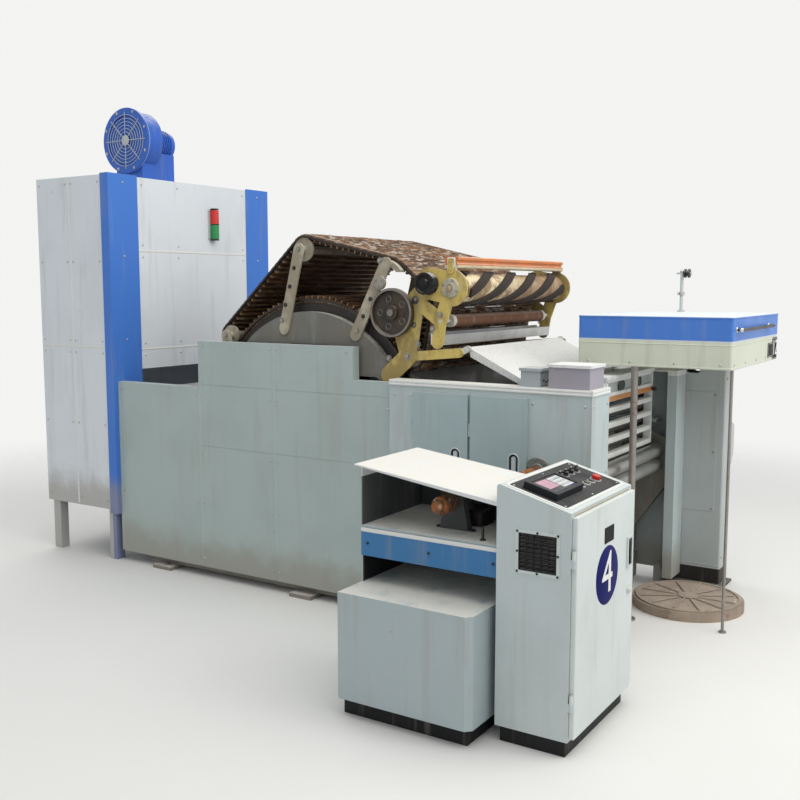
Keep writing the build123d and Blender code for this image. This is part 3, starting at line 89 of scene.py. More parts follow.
class NodeSheet:
    """One material's nodes, built with plain calls. Every pattern reads Object coordinates."""

    def __init__(self, name: str) -> None:
        """Start an empty material.

        Args:
            name: the material's name.
        """
        self.material = bpy.data.materials.new(name)
        self.material.use_nodes = True
        self.tree = self.material.node_tree
        self.tree.nodes.clear()
        self.output = self.tree.nodes.new("ShaderNodeOutputMaterial")
        self.shader = self.tree.nodes.new("ShaderNodeBsdfPrincipled")
        self.tree.links.new(self.shader.outputs["BSDF"], self.output.inputs["Surface"])
        self.place = self.tree.nodes.new("ShaderNodeTexCoord").outputs["Object"]
        self.split = self.tree.nodes.new("ShaderNodeSeparateXYZ")
        self.tree.links.new(self.place, self.split.inputs[0])
        self._normal: Socket | None = None

    def link(self, value: Socket | float | Sequence[float], target: Socket) -> None:
        """Feed a socket or a plain value into a node's input."""
        if isinstance(value, bpy.types.NodeSocket):
            self.tree.links.new(value, target)
        elif isinstance(value, (int, float)):
            target.default_value = value
        else:
            target.default_value = (*value, 1.0) if len(value) == 3 and target.type == "RGBA" else value

    def node(self, kind: str, **inputs: Socket | float | Sequence[float]) -> bpy.types.Node:
        """A new shader node, with values or sockets on its named inputs."""
        node = self.tree.nodes.new("ShaderNode" + kind)
        for name, value in inputs.items():
            self.link(value, node.inputs[name.replace("_", " ")])
        return node

    def along(self, axis: Axis) -> Socket:
        """The object coordinate along one axis, in metres."""
        return self.split.outputs[axis.value]

    def math(self, kind: str, a: Socket | float, b: Socket | float = 0.0, clamp: bool = False) -> Socket:
        """One arithmetic step.

        Args:
            kind: Blender's name of the operation.
            a: first operand.
            b: second operand.
            clamp: whether the result is kept from 0 to 1.

        Returns:
            The result's socket.
        """
        node = self.node("Math")
        node.operation = kind
        node.use_clamp = clamp
        self.link(a, node.inputs[0])
        self.link(b, node.inputs[1])
        return node.outputs[0]

    def times(self, a: Socket | float, b: Socket | float) -> Socket:
        """The product of two values."""
        return self.math("MULTIPLY", a, b)

    def stretched(self, scale: Point) -> Socket:
        """Object coordinates multiplied by a factor along each axis."""
        return self.node("Mapping", Vector=self.place, Scale=scale).outputs[0]

    def noise(self, scale: float, detail: float = 3.0, rough: float = 0.55,
              stretch: Point = (1.0, 1.0, 1.0)) -> Socket:
        """Cloudy noise from 0 to 1.

        Args:
            scale: blotches per metre.
            detail: number of finer layers.
            rough: weight of the finer layers.
            stretch: factors along the axes.

        Returns:
            The noise value's socket.
        """
        node = self.node("TexNoise", Scale=scale, Detail=detail, Roughness=rough)
        self.link(self.stretched(stretch), node.inputs["Vector"])
        return node.outputs["Fac"]

    def cells(self, scale: float, stretch: Point = (1.0, 1.0, 1.0)) -> Socket:
        """Distance to the nearest point of a scattered pattern."""
        node = self.node("TexVoronoi", Scale=scale)
        self.link(self.stretched(stretch), node.inputs["Vector"])
        return node.outputs["Distance"]

    def above(self, value: Socket, edge: float, soft: float) -> Socket:
        """1 where a value is past an edge, 0 before it, with a soft step between."""
        node = self.node("MapRange", Value=value, From_Min=edge - soft / 2, From_Max=edge + soft / 2)
        node.interpolation_type = "SMOOTHSTEP"
        return node.outputs["Result"]

    def below(self, value: Socket, edge: float, soft: float) -> Socket:
        """1 where a value is short of an edge, 0 past it."""
        return self.math("SUBTRACT", 1.0, self.above(value, edge, soft))

    def facing(self, axis: Axis) -> Socket:
        """How far the surface faces along an axis, from -1 to 1."""
        normal = self.node("NewGeometry").outputs["Normal"]
        return self.node("SeparateXYZ", Vector=normal).outputs[axis.value]

    def mix(self, share: Socket | float, first: Socket | Colour, second: Socket | Colour) -> Socket:
        """A colour between two others.

        Args:
            share: 0 gives the first colour, 1 the second.
            first: a colour.
            second: another colour.

        Returns:
            The mixed colour's socket.
        """
        node = self.node("Mix")
        node.data_type = "RGBA"
        self.link(share, node.inputs[0])
        self.link(first, node.inputs[6])
        self.link(second, node.inputs[7])
        return node.outputs[2]

    def blend(self, share: Socket, first: Socket | float, second: Socket | float) -> Socket:
        """A number between two others."""
        node = self.node("Mix")
        node.data_type = "FLOAT"
        self.link(share, node.inputs[0])
        self.link(first, node.inputs[2])
        self.link(second, node.inputs[3])
        return node.outputs[0]

    def relief(self, height: Socket, depth: float, strength: float = 0.5) -> None:
        """Add a bump to the surface.

        Args:
            height: 0 to 1.
            depth: metres that 1 stands for.
            strength: how much of it shows.
        """
        node = self.node("Bump", Strength=strength, Distance=depth, Height=height)
        if self._normal is not None:
            self.link(self._normal, node.inputs["Normal"])
        self._normal = node.outputs[0]

    def finish(self, colour: Socket | Colour, rough: Socket | float, metal: Socket | float = 0.0,
               coat: float = 0.0, gloss: float = 0.5) -> bpy.types.Material:
        """Connect the surface and return the material; gloss is how strongly a non-metal reflects."""
        self.shader.inputs["Specular IOR Level"].default_value = gloss
        self.link(colour, self.shader.inputs["Base Color"])
        self.link(rough, self.shader.inputs["Roughness"])
        self.link(metal, self.shader.inputs["Metallic"])
        self.shader.inputs["Coat Weight"].default_value = coat
        if self._normal is not None:
            self.tree.links.new(self._normal, self.shader.inputs["Normal"])
        return self.material


@dataclass(frozen=True)
class Patch:
    """A box of the frame that takes another colour; a missing side is open."""

    colour: Colour
    x: tuple[float, float] | None = None
    y: tuple[float, float] | None = None
    z: tuple[float, float] | None = None
    mirrored: bool = False

    def mask(self, sheet: NodeSheet) -> Socket:
        """1 inside the box. A mirrored patch reads |x|."""
        share: Socket | float = 1.0
        for axis, span in ((Axis.X, self.x), (Axis.Y, self.y), (Axis.Z, self.z)):
            if span is None:
                continue
            value = sheet.along(axis)
            if self.mirrored and axis is Axis.X:
                value = sheet.math("ABSOLUTE", value)
            part = sheet.times(sheet.above(value, span[0], PAINT_EDGE),
                               sheet.below(value, span[1], PAINT_EDGE))
            share = part if share == 1.0 else sheet.times(share, part)
        return share


@dataclass(frozen=True)
class Paint:
    """Mill paint: uneven shade, dust on what faces up, runs of grime, scuffs and fine chips.

    Attributes:
        name: the material's name.
        colour: the paint.
        rough: roughness of clean paint.
        dust: how much lint dust lies on upward faces, 0 to 1.
        grime: how strong the vertical runs are, 0 to 1.
        scuffs: share of dark rubbed marks, 0 to 1.
        speckle: how strong small dark flecks are, 0 to 1.
        rust: share of rusty spots, 0 to 1.
        low_dirt: height in metres below which dirt gathers; 0 leaves it out.
        stain: how strong broad brown stains are, 0 to 1.
        gloss: how strongly the paint reflects, 0 to 1.
        patches: boxes with another colour.
    """

    name: str
    colour: Colour
    rough: float = 0.42
    dust: float = 0.35
    grime: float = 0.35
    scuffs: float = 0.25
    speckle: float = 0.0
    rust: float = 0.1
    low_dirt: float = 0.0
    stain: float = 0.0
    gloss: float = 0.35
    patches: tuple[Patch, ...] = ()

    def material(self) -> bpy.types.Material:
        """Build the paint's nodes."""
        s = NodeSheet(self.name)
        cloud = s.noise(3.2, 4.0)
        deep = tuple(c * 0.84 for c in self.colour)
        colour = s.mix(s.times(s.above(cloud, 0.56, 0.3), 0.35), self.colour, deep)
        for patch in self.patches:
            colour = s.mix(patch.mask(s), colour, patch.colour)
        runs = s.noise(17.0, 3.0, 0.6, (1.0, 1.0, 0.08))
        runs = s.times(s.above(runs, 0.62, 0.2), self.grime)
        side = s.below(s.math("ABSOLUTE", s.facing(Axis.Z)), 0.5, 0.3)
        colour = s.mix(s.times(runs, s.times(side, 0.55)), colour, (0.34, 0.3, 0.24))
        marks = s.noise(9.0, 8.0, 0.72)
        marks = s.times(s.above(marks, 0.66, 0.05), self.scuffs)
        fine = s.above(s.noise(60.0, 5.0, 0.7), 0.52, 0.12)
        colour = s.mix(s.times(marks, fine), colour, (0.17, 0.16, 0.15))
        if self.speckle:
            flecks = s.below(s.cells(150.0), 0.24, 0.08)
            flecks = s.times(flecks, s.above(s.noise(14.0, 4.0), 0.4, 0.25))
            colour = s.mix(s.times(flecks, self.speckle), colour, (0.22, 0.2, 0.17))
        if self.rust:
            spots = s.above(s.noise(26.0, 9.0, 0.74), 0.72 - 0.08 * self.rust, 0.03)
            colour = s.mix(s.times(spots, min(1.0, 0.5 + self.rust)), colour, (0.33, 0.14, 0.06))
        if self.low_dirt:
            low = s.below(s.math("ADD", s.along(Axis.Z), s.times(s.noise(7.0, 5.0), 0.25)),
                          self.low_dirt + 0.12, 0.18)
            colour = s.mix(s.times(low, 0.6), colour, (0.3, 0.26, 0.21))
        if self.stain:
            broad = s.above(s.noise(7.5, 8.0, 0.7, (1.0, 1.0, 0.6)), 0.47, 0.16)
            colour = s.mix(s.times(broad, self.stain), colour, (0.15, 0.1, 0.055))
        lint = s.times(s.above(s.facing(Axis.Z), 0.6, 0.4), self.dust)
        lint = s.times(lint, s.above(s.noise(11.0, 6.0, 0.65), 0.38, 0.35))
        colour = s.mix(lint, colour, (0.72, 0.69, 0.62))
        rough = s.blend(lint, s.blend(s.above(cloud, 0.5, 0.4), self.rough, self.rough + 0.12), 0.92)
        s.relief(s.noise(230.0, 2.0), 0.0006, 0.18)
        s.relief(s.noise(2.1, 1.0), 0.012, 0.1)
        return s.finish(colour, rough, gloss=self.gloss)


@dataclass(frozen=True)
class Metal:
    """Bare or cast metal with oil, rust and lint.

    Attributes:
        name: the material's name.
        colour: the clean metal.
        rough: roughness of the clean metal.
        metal: how metallic the clean part is.
        rust: share covered by rust, 0 to 1.
        rust_colour: the rust.
        grain: marks per metre of the turning or grinding, 0 for a casting.
        grain_axis: the axis that the marks run across.
        lint: share covered by pale fibre dust, 0 to 1.
    """

    name: str
    colour: Colour
    rough: float = 0.38
    metal: float = 0.9
    rust: float = 0.15
    rust_colour: Colour = (0.3, 0.13, 0.06)
    grain: float = 0.0
    grain_axis: Axis = Axis.X
    lint: float = 0.15

    def material(self) -> bpy.types.Material:
        """Build the metal's nodes."""
        s = NodeSheet(self.name)
        cloud = s.noise(8.0, 5.0, 0.6)
        colour = s.mix(s.times(s.above(cloud, 0.5, 0.35), 0.45), self.colour,
                       tuple(c * 0.6 for c in self.colour))
        rust = s.above(s.noise(19.0, 9.0, 0.7), 0.74 - 0.36 * self.rust, 0.12)
        flakes = s.noise(90.0, 4.0)
        rusty = s.mix(flakes, tuple(c * 0.55 for c in self.rust_colour), self.rust_colour)
        colour = s.mix(rust, colour, rusty)
        lint = s.above(s.noise(33.0, 7.0, 0.7), 0.78 - 0.3 * self.lint, 0.14)
        lint = s.times(lint, s.above(s.facing(Axis.Z), -0.1, 0.8))
        colour = s.mix(s.times(lint, 0.7), colour, (0.66, 0.62, 0.55))
        cover = s.math("MAXIMUM", rust, lint)
        rough = s.blend(cover, s.blend(cloud, self.rough, self.rough + 0.15), 0.88)
        metal = s.blend(cover, self.metal, 0.0)
        if self.grain:
            stretch = [0.06, 0.06, 0.06]
            stretch[self.grain_axis.value] = 1.0
            s.relief(s.noise(self.grain, 2.0, 0.6, tuple(stretch)), 0.0008, 0.25)
        s.relief(s.noise(160.0, 4.0, 0.6), 0.0012, 0.3 if not self.grain else 0.1)
        return s.finish(colour, rough, metal)


@dataclass(frozen=True)
class Plastic:
    """Moulded plastic or rubber with a fine grain and handling marks."""

    name: str
    colour: Colour
    rough: float = 0.4
    grain: float = 420.0
    dust: float = 0.25
    coat: float = 0.0
    gloss: float = 0.3

    def material(self) -> bpy.types.Material:
        """Build the plastic's nodes."""
        s = NodeSheet(self.name)
        colour = s.mix(s.times(s.noise(40.0, 4.0), 0.25), self.colour,
                       tuple(min(1.0, c * 1.35 + 0.01) for c in self.colour))
        lint = s.times(s.above(s.facing(Axis.Z), 0.3, 0.6), self.dust)
        lint = s.times(lint, s.above(s.noise(70.0, 6.0, 0.7), 0.45, 0.3))
        colour = s.mix(lint, colour, (0.62, 0.59, 0.53))
        s.relief(s.noise(self.grain, 2.0), 0.0004, 0.25)
        return s.finish(colour, s.blend(lint, self.rough, 0.9), coat=self.coat, gloss=self.gloss)


@dataclass(frozen=True)
class FlatIron:
    """Brown, oily flats: cast bars whose clothed faces carry grey fibre strips."""

    name: str = "flat iron and clothing"
    iron: Colour = (0.105, 0.058, 0.034)
    edge: Colour = (0.31, 0.18, 0.095)
    fibre: Colour = (0.42, 0.36, 0.29)

    def material(self) -> bpy.types.Material:
        """Build the nodes: blotches run along each bar, pale fibre sits in patches."""
        s = NodeSheet(self.name)
        along = s.noise(6.0, 6.0, 0.7, (0.8, 6.0, 6.0))
        colour = s.mix(s.above(along, 0.5, 0.3), self.iron, self.edge)
        fluff = s.above(s.noise(24.0, 8.0, 0.75, (0.35, 1.0, 1.0)), 0.6, 0.16)
        colour = s.mix(s.times(fluff, 0.8), colour, self.fibre)
        rows = s.noise(300.0, 2.0, 0.5, (1.0, 0.2, 0.2))
        s.relief(rows, 0.0015, 0.35)
        s.relief(fluff, 0.004, 0.5)
        return s.finish(colour, s.blend(fluff, 0.46, 0.95), s.blend(fluff, 0.35, 0.0))


@dataclass(frozen=True)
class FibreStrip:
    """Card clothing clogged with fibre: dark wire, rusty streaks and cream tufts along each flat."""

    name: str = "clogged flat clothing"
    wire: Colour = (0.06, 0.038, 0.027)
    rust: Colour = (0.23, 0.115, 0.055)
    fibre: Colour = (0.56, 0.49, 0.4)

    def material(self) -> bpy.types.Material:
        """Build the nodes: streaks and tufts are noise drawn out along X."""
        s = NodeSheet(self.name)
        streak = s.noise(9.0, 6.0, 0.7, (0.5, 5.0, 5.0))
        colour = s.mix(s.above(streak, 0.5, 0.16), self.wire, self.rust)
        tufts = s.above(s.noise(34.0, 7.0, 0.74, (0.4, 1.3, 1.3)), 0.535, 0.1)
        tufts = s.times(tufts, s.above(s.noise(2.2, 3.0), 0.38, 0.22))
        colour = s.mix(s.times(tufts, 0.85), colour, self.fibre)
        s.relief(tufts, 0.005, 0.6)
        s.relief(s.noise(420.0, 3.0, 0.7), 0.002, 0.5)
        return s.finish(colour, 0.95, gloss=0.2)


@dataclass(frozen=True)
class DrumSkin:
    """The stripping drum: cream core, dark bristles where the radius passes the core's.

    Attributes:
        axis: the drum's axis (y, z).
        core: radius where bristles begin.
    """

    axis: tuple[float, float]
    core: float

    def material(self) -> bpy.types.Material:
        """Build the nodes: radius = square root of (y - axis)^2 + (z - axis)^2."""
        s = NodeSheet("spiral drum")
        dy = s.math("SUBTRACT", s.along(Axis.Y), self.axis[0])
        dz = s.math("SUBTRACT", s.along(Axis.Z), self.axis[1])
        radius = s.math("SQRT", s.math("ADD", s.times(dy, dy), s.times(dz, dz)))
        bristle = s.above(radius, self.core, 0.002)
        cream = s.mix(s.above(s.noise(12.0, 7.0, 0.7), 0.49, 0.14), (0.7, 0.6, 0.38), (0.27, 0.17, 0.085))
        brown_end = s.above(s.along(Axis.X), 0.0, 0.6)
        cream = s.mix(s.times(brown_end, 0.75), cream, (0.24, 0.13, 0.065))
        dark = s.mix(s.noise(420.0, 3.0, 0.7), (0.01, 0.008, 0.007), (0.042, 0.028, 0.02))
        s.relief(s.noise(600.0, 2.0, 0.6), 0.002, 0.5)
        return s.finish(s.mix(bristle, cream, dark), s.blend(bristle, 0.55, 0.95))


@dataclass(frozen=True)
class WireClothing:
    """Fine card wire wound round a roll: closely spaced rings with dust between them."""

    name: str
    colour: Colour

    def material(self) -> bpy.types.Material:
        """Build the nodes: rings are a sine along the roll's axis."""
        s = NodeSheet(self.name)
        rings = s.math("SINE", s.times(s.along(Axis.X), 1900.0))
        s.relief(rings, 0.0006, 0.5)
        teeth = s.noise(900.0, 2.0)
        s.relief(teeth, 0.0008, 0.5)
        dusty = s.above(s.noise(7.0, 6.0, 0.65), 0.5, 0.3)
        colour = s.mix(s.times(dusty, 0.5), self.colour, (0.6, 0.57, 0.5))
        return s.finish(colour, s.blend(dusty, 0.34, 0.8), s.blend(dusty, 0.85, 0.2))


@dataclass(frozen=True)
class Screen:
    """A printed face: even colour, with a faint grid where it has a pitch."""

    name: str
    colour: Colour
    pitch: float = 0.0

    def material(self) -> bpy.types.Material:
        """Build the nodes."""
        s = NodeSheet(self.name)
        colour: Socket | Colour = self.colour
        if self.pitch:
            line = s.math("SINE", s.times(s.along(Axis.X), 2 * math.pi / self.pitch))
            colour = s.mix(s.above(line, 0.9, 0.1), self.colour, tuple(c * 0.6 for c in self.colour))
        return s.finish(colour, 0.22, coat=0.4)


# Surfaces worked out on grids


@dataclass
class Skin:
    """Points and faces of one piece while it is being made, joined from computed surfaces."""

    points: list[np.ndarray] = field(default_factory=list)
    faces: list[tuple[int, ...]] = field(default_factory=list)
    count: int = 0

    def add(self, points: np.ndarray, faces: np.ndarray) -> Skin:
        """Append points (n, 3) and faces (m, corners) counted from 0."""
        self.points.append(np.asarray(points, float).reshape(-1, 3))
        self.faces.extend(map(tuple, (np.asarray(faces) + self.count).tolist()))
        self.count += len(self.points[-1])
        return self

    def grid(self, points: np.ndarray, around: bool = False, along: bool = False) -> Skin:
        """Append a surface given as an array (rows, columns, 3).

        Args:
            points: the surface's points.
            around: whether the last column joins the first.
            along: whether the last row joins the first.

        Returns:
            This skin.
        """
        rows, columns = points.shape[:2]
        i = np.arange(rows if along else rows - 1)[:, None]
        j = np.arange(columns if around else columns - 1)[None, :]
        k, m = (i + 1) % rows, (j + 1) % columns
        quads = np.broadcast_arrays(i * columns + j, i * columns + m, k * columns + m, k * columns + j)
        return self.add(points, np.stack(quads, -1).reshape(-1, 4))

    def band(self, points: np.ndarray) -> Skin:
        """Append a surface that closes on itself both ways, like a ring."""
        return self.grid(points, around=True, along=True)

    def slab(self, low: Point, high: Point) -> Skin:
        """Append a box between two corners: its eight corners are every mix of low and high."""
        span = np.array([low, high], float)
        bits = np.array([(0, 0, 0), (1, 0, 0), (1, 1, 0), (0, 1, 0), (0, 0, 1), (1, 0, 1), (1, 1, 1),
                         (0, 1, 1)])
        points = np.stack([span[bits[:, a], a] for a in range(3)], -1)
        sides = ((0, 3, 2, 1), (4, 5, 6, 7), (0, 1, 5, 4), (1, 2, 6, 5), (2, 3, 7, 6), (3, 0, 4, 7))
        return self.add(points, np.array(sides))

    def turned(self, origin: Point, axis: Point, profile: Sequence[tuple[float, float]],
               sides: int = 32) -> Skin:
        """Append a turned shape: point = origin + d * axis + r * (cos a * u + sin a * v).

        Args:
            origin: where the profile's distance is 0.
            axis: the turning axis.
            profile: (distance d, radius r) pairs in order.
            sides: facets round the axis.

        Returns:
            This skin.
        """
        w = np.array(axis, float)
        w /= np.linalg.norm(w)
        u = np.cross(w, (0.0, 0.0, 1.0) if abs(w[2]) < 0.9 else (1.0, 0.0, 0.0))
        u /= np.linalg.norm(u)
        v = np.cross(w, u)
        a = full_turn(sides)
        ring = np.cos(a)[:, None] * u + np.sin(a)[:, None] * v
        d, r = np.array(profile, float).T
        points = np.array(origin, float) + d[:, None, None] * w + r[:, None, None] * ring[None]
        return self.grid(points, around=True)

    def plug(self, origin: Point, axis: Point, profile: Sequence[tuple[float, float]],
             sides: int = 32) -> Skin:
        """Append a turned shape whose two ends are closed flat, down to the axis."""
        ends = [(profile[i][0], 0.0) for i in (0, -1)]
        return self.turned(origin, axis, (ends[0], *profile, ends[1]), sides)

    def pipe(self, path: np.ndarray, radius: float | np.ndarray, sides: int = 12) -> None:
        """Append a round tube along a path: rings of r * (cos a * n + sin a * b), closed at both ends.

        Args:
            path: points (n, 3) of its centreline.
            radius: one radius, or one for each point.
            sides: facets round it.
        """
        path = np.asarray(path, float)
        tangent = np.gradient(path, axis=0)
        tangent /= np.linalg.norm(tangent, axis=1)[:, None]
        side = np.cross(tangent, (0.31, 0.17, 0.93))
        side /= np.linalg.norm(side, axis=1)[:, None]
        other = np.cross(tangent, side)
        a = full_turn(sides)
        r = np.broadcast_to(np.asarray(radius, float), (len(path),))
        r = np.concatenate([[0.0], r, [0.0]])
        path, side, other = (np.concatenate([t[:1], t, t[-1:]])[:, None] for t in (path, side, other))
        ring = np.cos(a)[None, :, None] * side + np.sin(a)[None, :, None] * other
        self.grid(path + r[:, None, None] * ring, around=True)

    def rounded(self, origin: Point, u: Point, v: Point, w: Point, half: tuple[float, float],
                corner: float, thick: float, steps: int = 6) -> Skin:
        """Append a plate with rounded corners: a superposed quarter circle at each corner.

        Args:
            origin: the middle of the plate's back.
            u: direction of its width.
            v: direction of its height.
            w: direction of its thickness.
            half: half width and half height.
            corner: corner radius.
            thick: thickness; its front edge is softened by a quarter of it.
            steps: points in each corner.

        Returns:
            This skin.
        """
        a = full_turn(4 * steps) + np.pi / (4 * steps)
        sx, sy = np.sign(np.cos(a)), np.sign(np.sin(a))
        base, out_u, out_v, out_w = (np.array(t, float) for t in (origin, u, v, w))
        soft = min(thick * 0.25, corner * 0.5)
        rings = []
        for inset, height in ((0.0, 0.0), (0.0, thick - soft), (soft, thick)):
            r = max(corner - inset, 1e-5)
            x = sx * (half[0] - corner) + r * np.cos(a)
            y = sy * (half[1] - corner) + r * np.sin(a)
            rings.append(base + x[:, None] * out_u + y[:, None] * out_v + height * out_w)
        middle = base + thick * out_w
        rings.append(np.repeat(middle[None], len(a), 0))
        rings.insert(0, np.repeat(base[None], len(a), 0))
        return self.grid(np.array(rings), around=True)

    def stamp(self, shape: Skin, places: np.ndarray, turns: np.ndarray) -> None:
        """Append copies of a small shape, each turned about X and moved.

        Args:
            shape: a skin with one surface.
            places: where each copy goes, (n, 2) in (y, z).
            turns: angle about X of each copy; (y, z) becomes (y cos - z sin, y sin + z cos).
        """
        points, faces = shape.points[0], np.array(shape.faces)
        c, s = np.cos(turns)[:, None], np.sin(turns)[:, None]
        x = np.broadcast_to(points[:, 0], (len(places), len(points)))
        y = points[:, 1] * c - points[:, 2] * s + places[:, :1]
        z = points[:, 1] * s + points[:, 2] * c + places[:, 1:]
        shift = np.arange(len(places))[:, None, None] * len(points)
        self.add(np.stack([x, y, z], -1), (faces[None] + shift).reshape(-1, faces.shape[1]))

    def screws(self, places: Iterable[Point], out: Point, radius: float = 0.006) -> Skin:
        """Append low domed screw heads with a recess, a few dozen faces each.

        Args:
            places: where each head meets the surface.
            out: the surface's outward direction.
            radius: radius of a head.

        Returns:
            This skin.
        """
        h = radius * 0.62
        profile = ((-0.001, radius), (h * 0.45, radius), (h * 0.9, radius * 0.72), (h, radius * 0.42),
                   (h * 0.55, radius * 0.36), (h * 0.5, 0.0))
        for place in places:
            self.turned(place, out, profile, 8)
        return self

    def nuts(self, places: Iterable[Point], out: Point, radius: float = 0.011) -> Skin:
        """Append hexagon heads on round washers."""
        h = radius * 0.7
        for place in places:
            self.turned(place, out,
                        ((-0.001, radius * 1.5), (0.0018, radius * 1.5), (0.0018, radius * 1.1)), 14)
            self.turned(place, out,
                        ((0.0018, radius), (h, radius), (h * 1.12, radius * 0.85), (h * 1.12, 0)), 6)
        return self

    def made(self, name: str, material: bpy.types.Material) -> bpy.types.Object:
        """Make the object, with its doubles merged and its faces turned outwards."""
        mesh = bpy.data.meshes.new(name)
        mesh.from_pydata(np.concatenate(self.points).tolist(), [], self.faces)
        tidy = bmesh.new()
        tidy.from_mesh(mesh)
        bmesh.ops.remove_doubles(tidy, verts=tidy.verts, dist=1e-6)
        bmesh.ops.dissolve_degenerate(tidy, edges=tidy.edges, dist=1e-7)
        bmesh.ops.recalc_face_normals(tidy, faces=tidy.faces)
        tidy.to_mesh(mesh)
        tidy.free()
        mesh.materials.append(material)
        return linked(name, mesh)

    def piece(self, name: str, finish: str, slot: str, body: str = "machine_frame",
              smooth: float | None = 35.0, bevel: float = 0.0) -> bpy.types.Object:
        """Make the object and let it ride on its body.

        Args:
            name: the piece's name.
            finish: the name of its finish.
            slot: the record's material slot; not used.
            body: the CAD body it moves with.
            smooth: angle in degrees below which edges look round, or None for flat faces.
            bevel: width in metres of softened edges, 0 for none.

        Returns:
            The finished object.
        """
        obj = self.made(name, Wardrobe.new(finish))
        mesh = obj.data
        if smooth is not None:
            mesh.shade_smooth()
            mesh.set_sharp_from_angle(angle=math.radians(smooth))
        if bevel:
            softened = obj.modifiers.new("softened edges", "BEVEL")
            softened.width = bevel
            softened.segments = 2
            softened.limit_method = "ANGLE"
            softened.angle_limit = math.radians(40.0)
        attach(obj, body)
        log.info("%s: %d faces on %s", name, len(mesh.polygons), body)
        return obj


def linked(name: str, data: bpy.types.ID) -> bpy.types.Object:
    """A new object in the scene that shows a mesh, curve, lamp or camera."""
    obj = bpy.data.objects.new(name, data)
    bpy.context.scene.collection.objects.link(obj)
    return obj


def full_turn(count: int) -> np.ndarray:
    """Evenly spaced angles round a circle, in radians."""
    return np.linspace(0.0, 2 * np.pi, count, endpoint=False)


def lattice(*spans: float | Sequence[float]) -> list[Point]:
    """Every place whose x, y and z come from three numbers or rows of numbers."""
    return list(product(*(np.atleast_1d(span).tolist() for span in spans)))


def circle(middle: Point, radius: float, angles: Iterable[float], axis: Axis = Axis.X) -> list[Point]:
    """Places on a circle round X or Z: middle + radius * (cos a, sin a) across that axis."""
    x, y, z = middle
    if axis is Axis.X:
        return [(x, y + radius * math.cos(a), z + radius * math.sin(a)) for a in angles]
    return [(x + radius * math.cos(a), y + radius * math.sin(a), z) for a in angles]


@dataclass(frozen=True)
class Lettering:
    """Plain digits as raised flat shapes."""

    text: str
    middle: Point
    height: float
    right: Point
    up: Point

    def add(self, name: str, finish: str, slot: str, body: str = "machine_frame") -> bpy.types.Object:
        """Make the digits a mesh, place them in it, and let them ride on their body."""
        curve = bpy.data.curves.new(name, "FONT")
        curve.body = self.text
        curve.size = self.height * 1.4
        curve.align_x = "CENTER"
        curve.align_y = "CENTER"
        curve.extrude = 0.0006
        flat = linked(name, curve)
        bpy.context.view_layer.update()
        mesh = bpy.data.meshes.new_from_object(flat)
        bpy.data.objects.remove(flat)
        right, up = Vector(self.right).normalized(), Vector(self.up).normalized()
        out = right.cross(up)
        place = Matrix((right, up, out)).transposed().to_4x4()
        place.translation = Vector(self.middle)
        mesh.transform(place)
        mesh.materials.clear()
        mesh.materials.append(Wardrobe.new(finish))
        obj = linked(name, mesh)
        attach(obj, body)
        return obj


@dataclass
class EndlessPath:
    """The path of the flats' chain: circles joined by their common tangents.

    Attributes:
        circles: (centre, radius, side) in order; side is 1 where the path turns left.
        step: spacing in metres of the sampled points.
    """

    circles: list[tuple[tuple[float, float], float, int]]
    step: float = 0.002

    def sample(self) -> tuple[np.ndarray, np.ndarray, float]:
        """Points (n, 2) in (y, z), headings (n) and the total length.

        A tangent from one circle to the next leans by arcsin of the difference of
        side * radius over the centres' distance.
        """
        ends = []
        for i, (c, r, side) in enumerate(self.circles):
            c2, r2, side2 = self.circles[(i + 1) % len(self.circles)]
            dy, dz = c2[0] - c[0], c2[1] - c[1]
            heading = math.atan2(dz, dy) - math.asin((side2 * r2 - side * r) / math.hypot(dy, dz))
            n = (-math.sin(heading), math.cos(heading))
            ends.append(((c[0] - side * r * n[0], c[1] - side * r * n[1]),
                         (c2[0] - side2 * r2 * n[0], c2[1] - side2 * r2 * n[1])))
        parts = []
        for i, (c, r, side) in enumerate(self.circles):
            arrive, (leave, land) = ends[i - 1][1], ends[i]
            a0 = math.atan2(arrive[1] - c[1], arrive[0] - c[0])
            turn = (math.atan2(leave[1] - c[1], leave[0] - c[0]) - a0) * side % (2 * math.pi)
            a = a0 + side * np.linspace(0.0, turn, max(3, int(r * turn / self.step)))
            parts.append(np.stack([c[0] + r * np.cos(a), c[1] + r * np.sin(a)], -1))
            t = np.linspace(0.0, 1.0, max(3, int(math.dist(leave, land) / self.step)))[1:-1, None]
            parts.append(np.array(leave) * (1 - t) + np.array(land) * t)
        line = np.concatenate(parts)
        gaps = np.diff(line, axis=0, append=line[:1])
        length = np.linalg.norm(gaps, axis=1)
        keep = length > 1e-7
        return line[keep], np.unwrap(np.arctan2(gaps[keep, 1], gaps[keep, 0])), float(length[keep].sum())

    def places(self, count: int, start: float = 0.5) -> tuple[np.ndarray, np.ndarray]:
        """Evenly spaced places (count, 2) and headings (count) along the path."""
        line, heading, total = self.sample()
        gaps = np.linalg.norm(np.diff(line, axis=0, append=line[:1]), axis=1)
        far = np.concatenate([[0.0], np.cumsum(gaps)[:-1]])
        want = (np.arange(count) + start) * total / count
        y = np.interp(want, far, line[:, 0])
        z = np.interp(want, far, line[:, 1])
        return np.stack([y, z], -1), np.interp(want, far, heading)


# The room


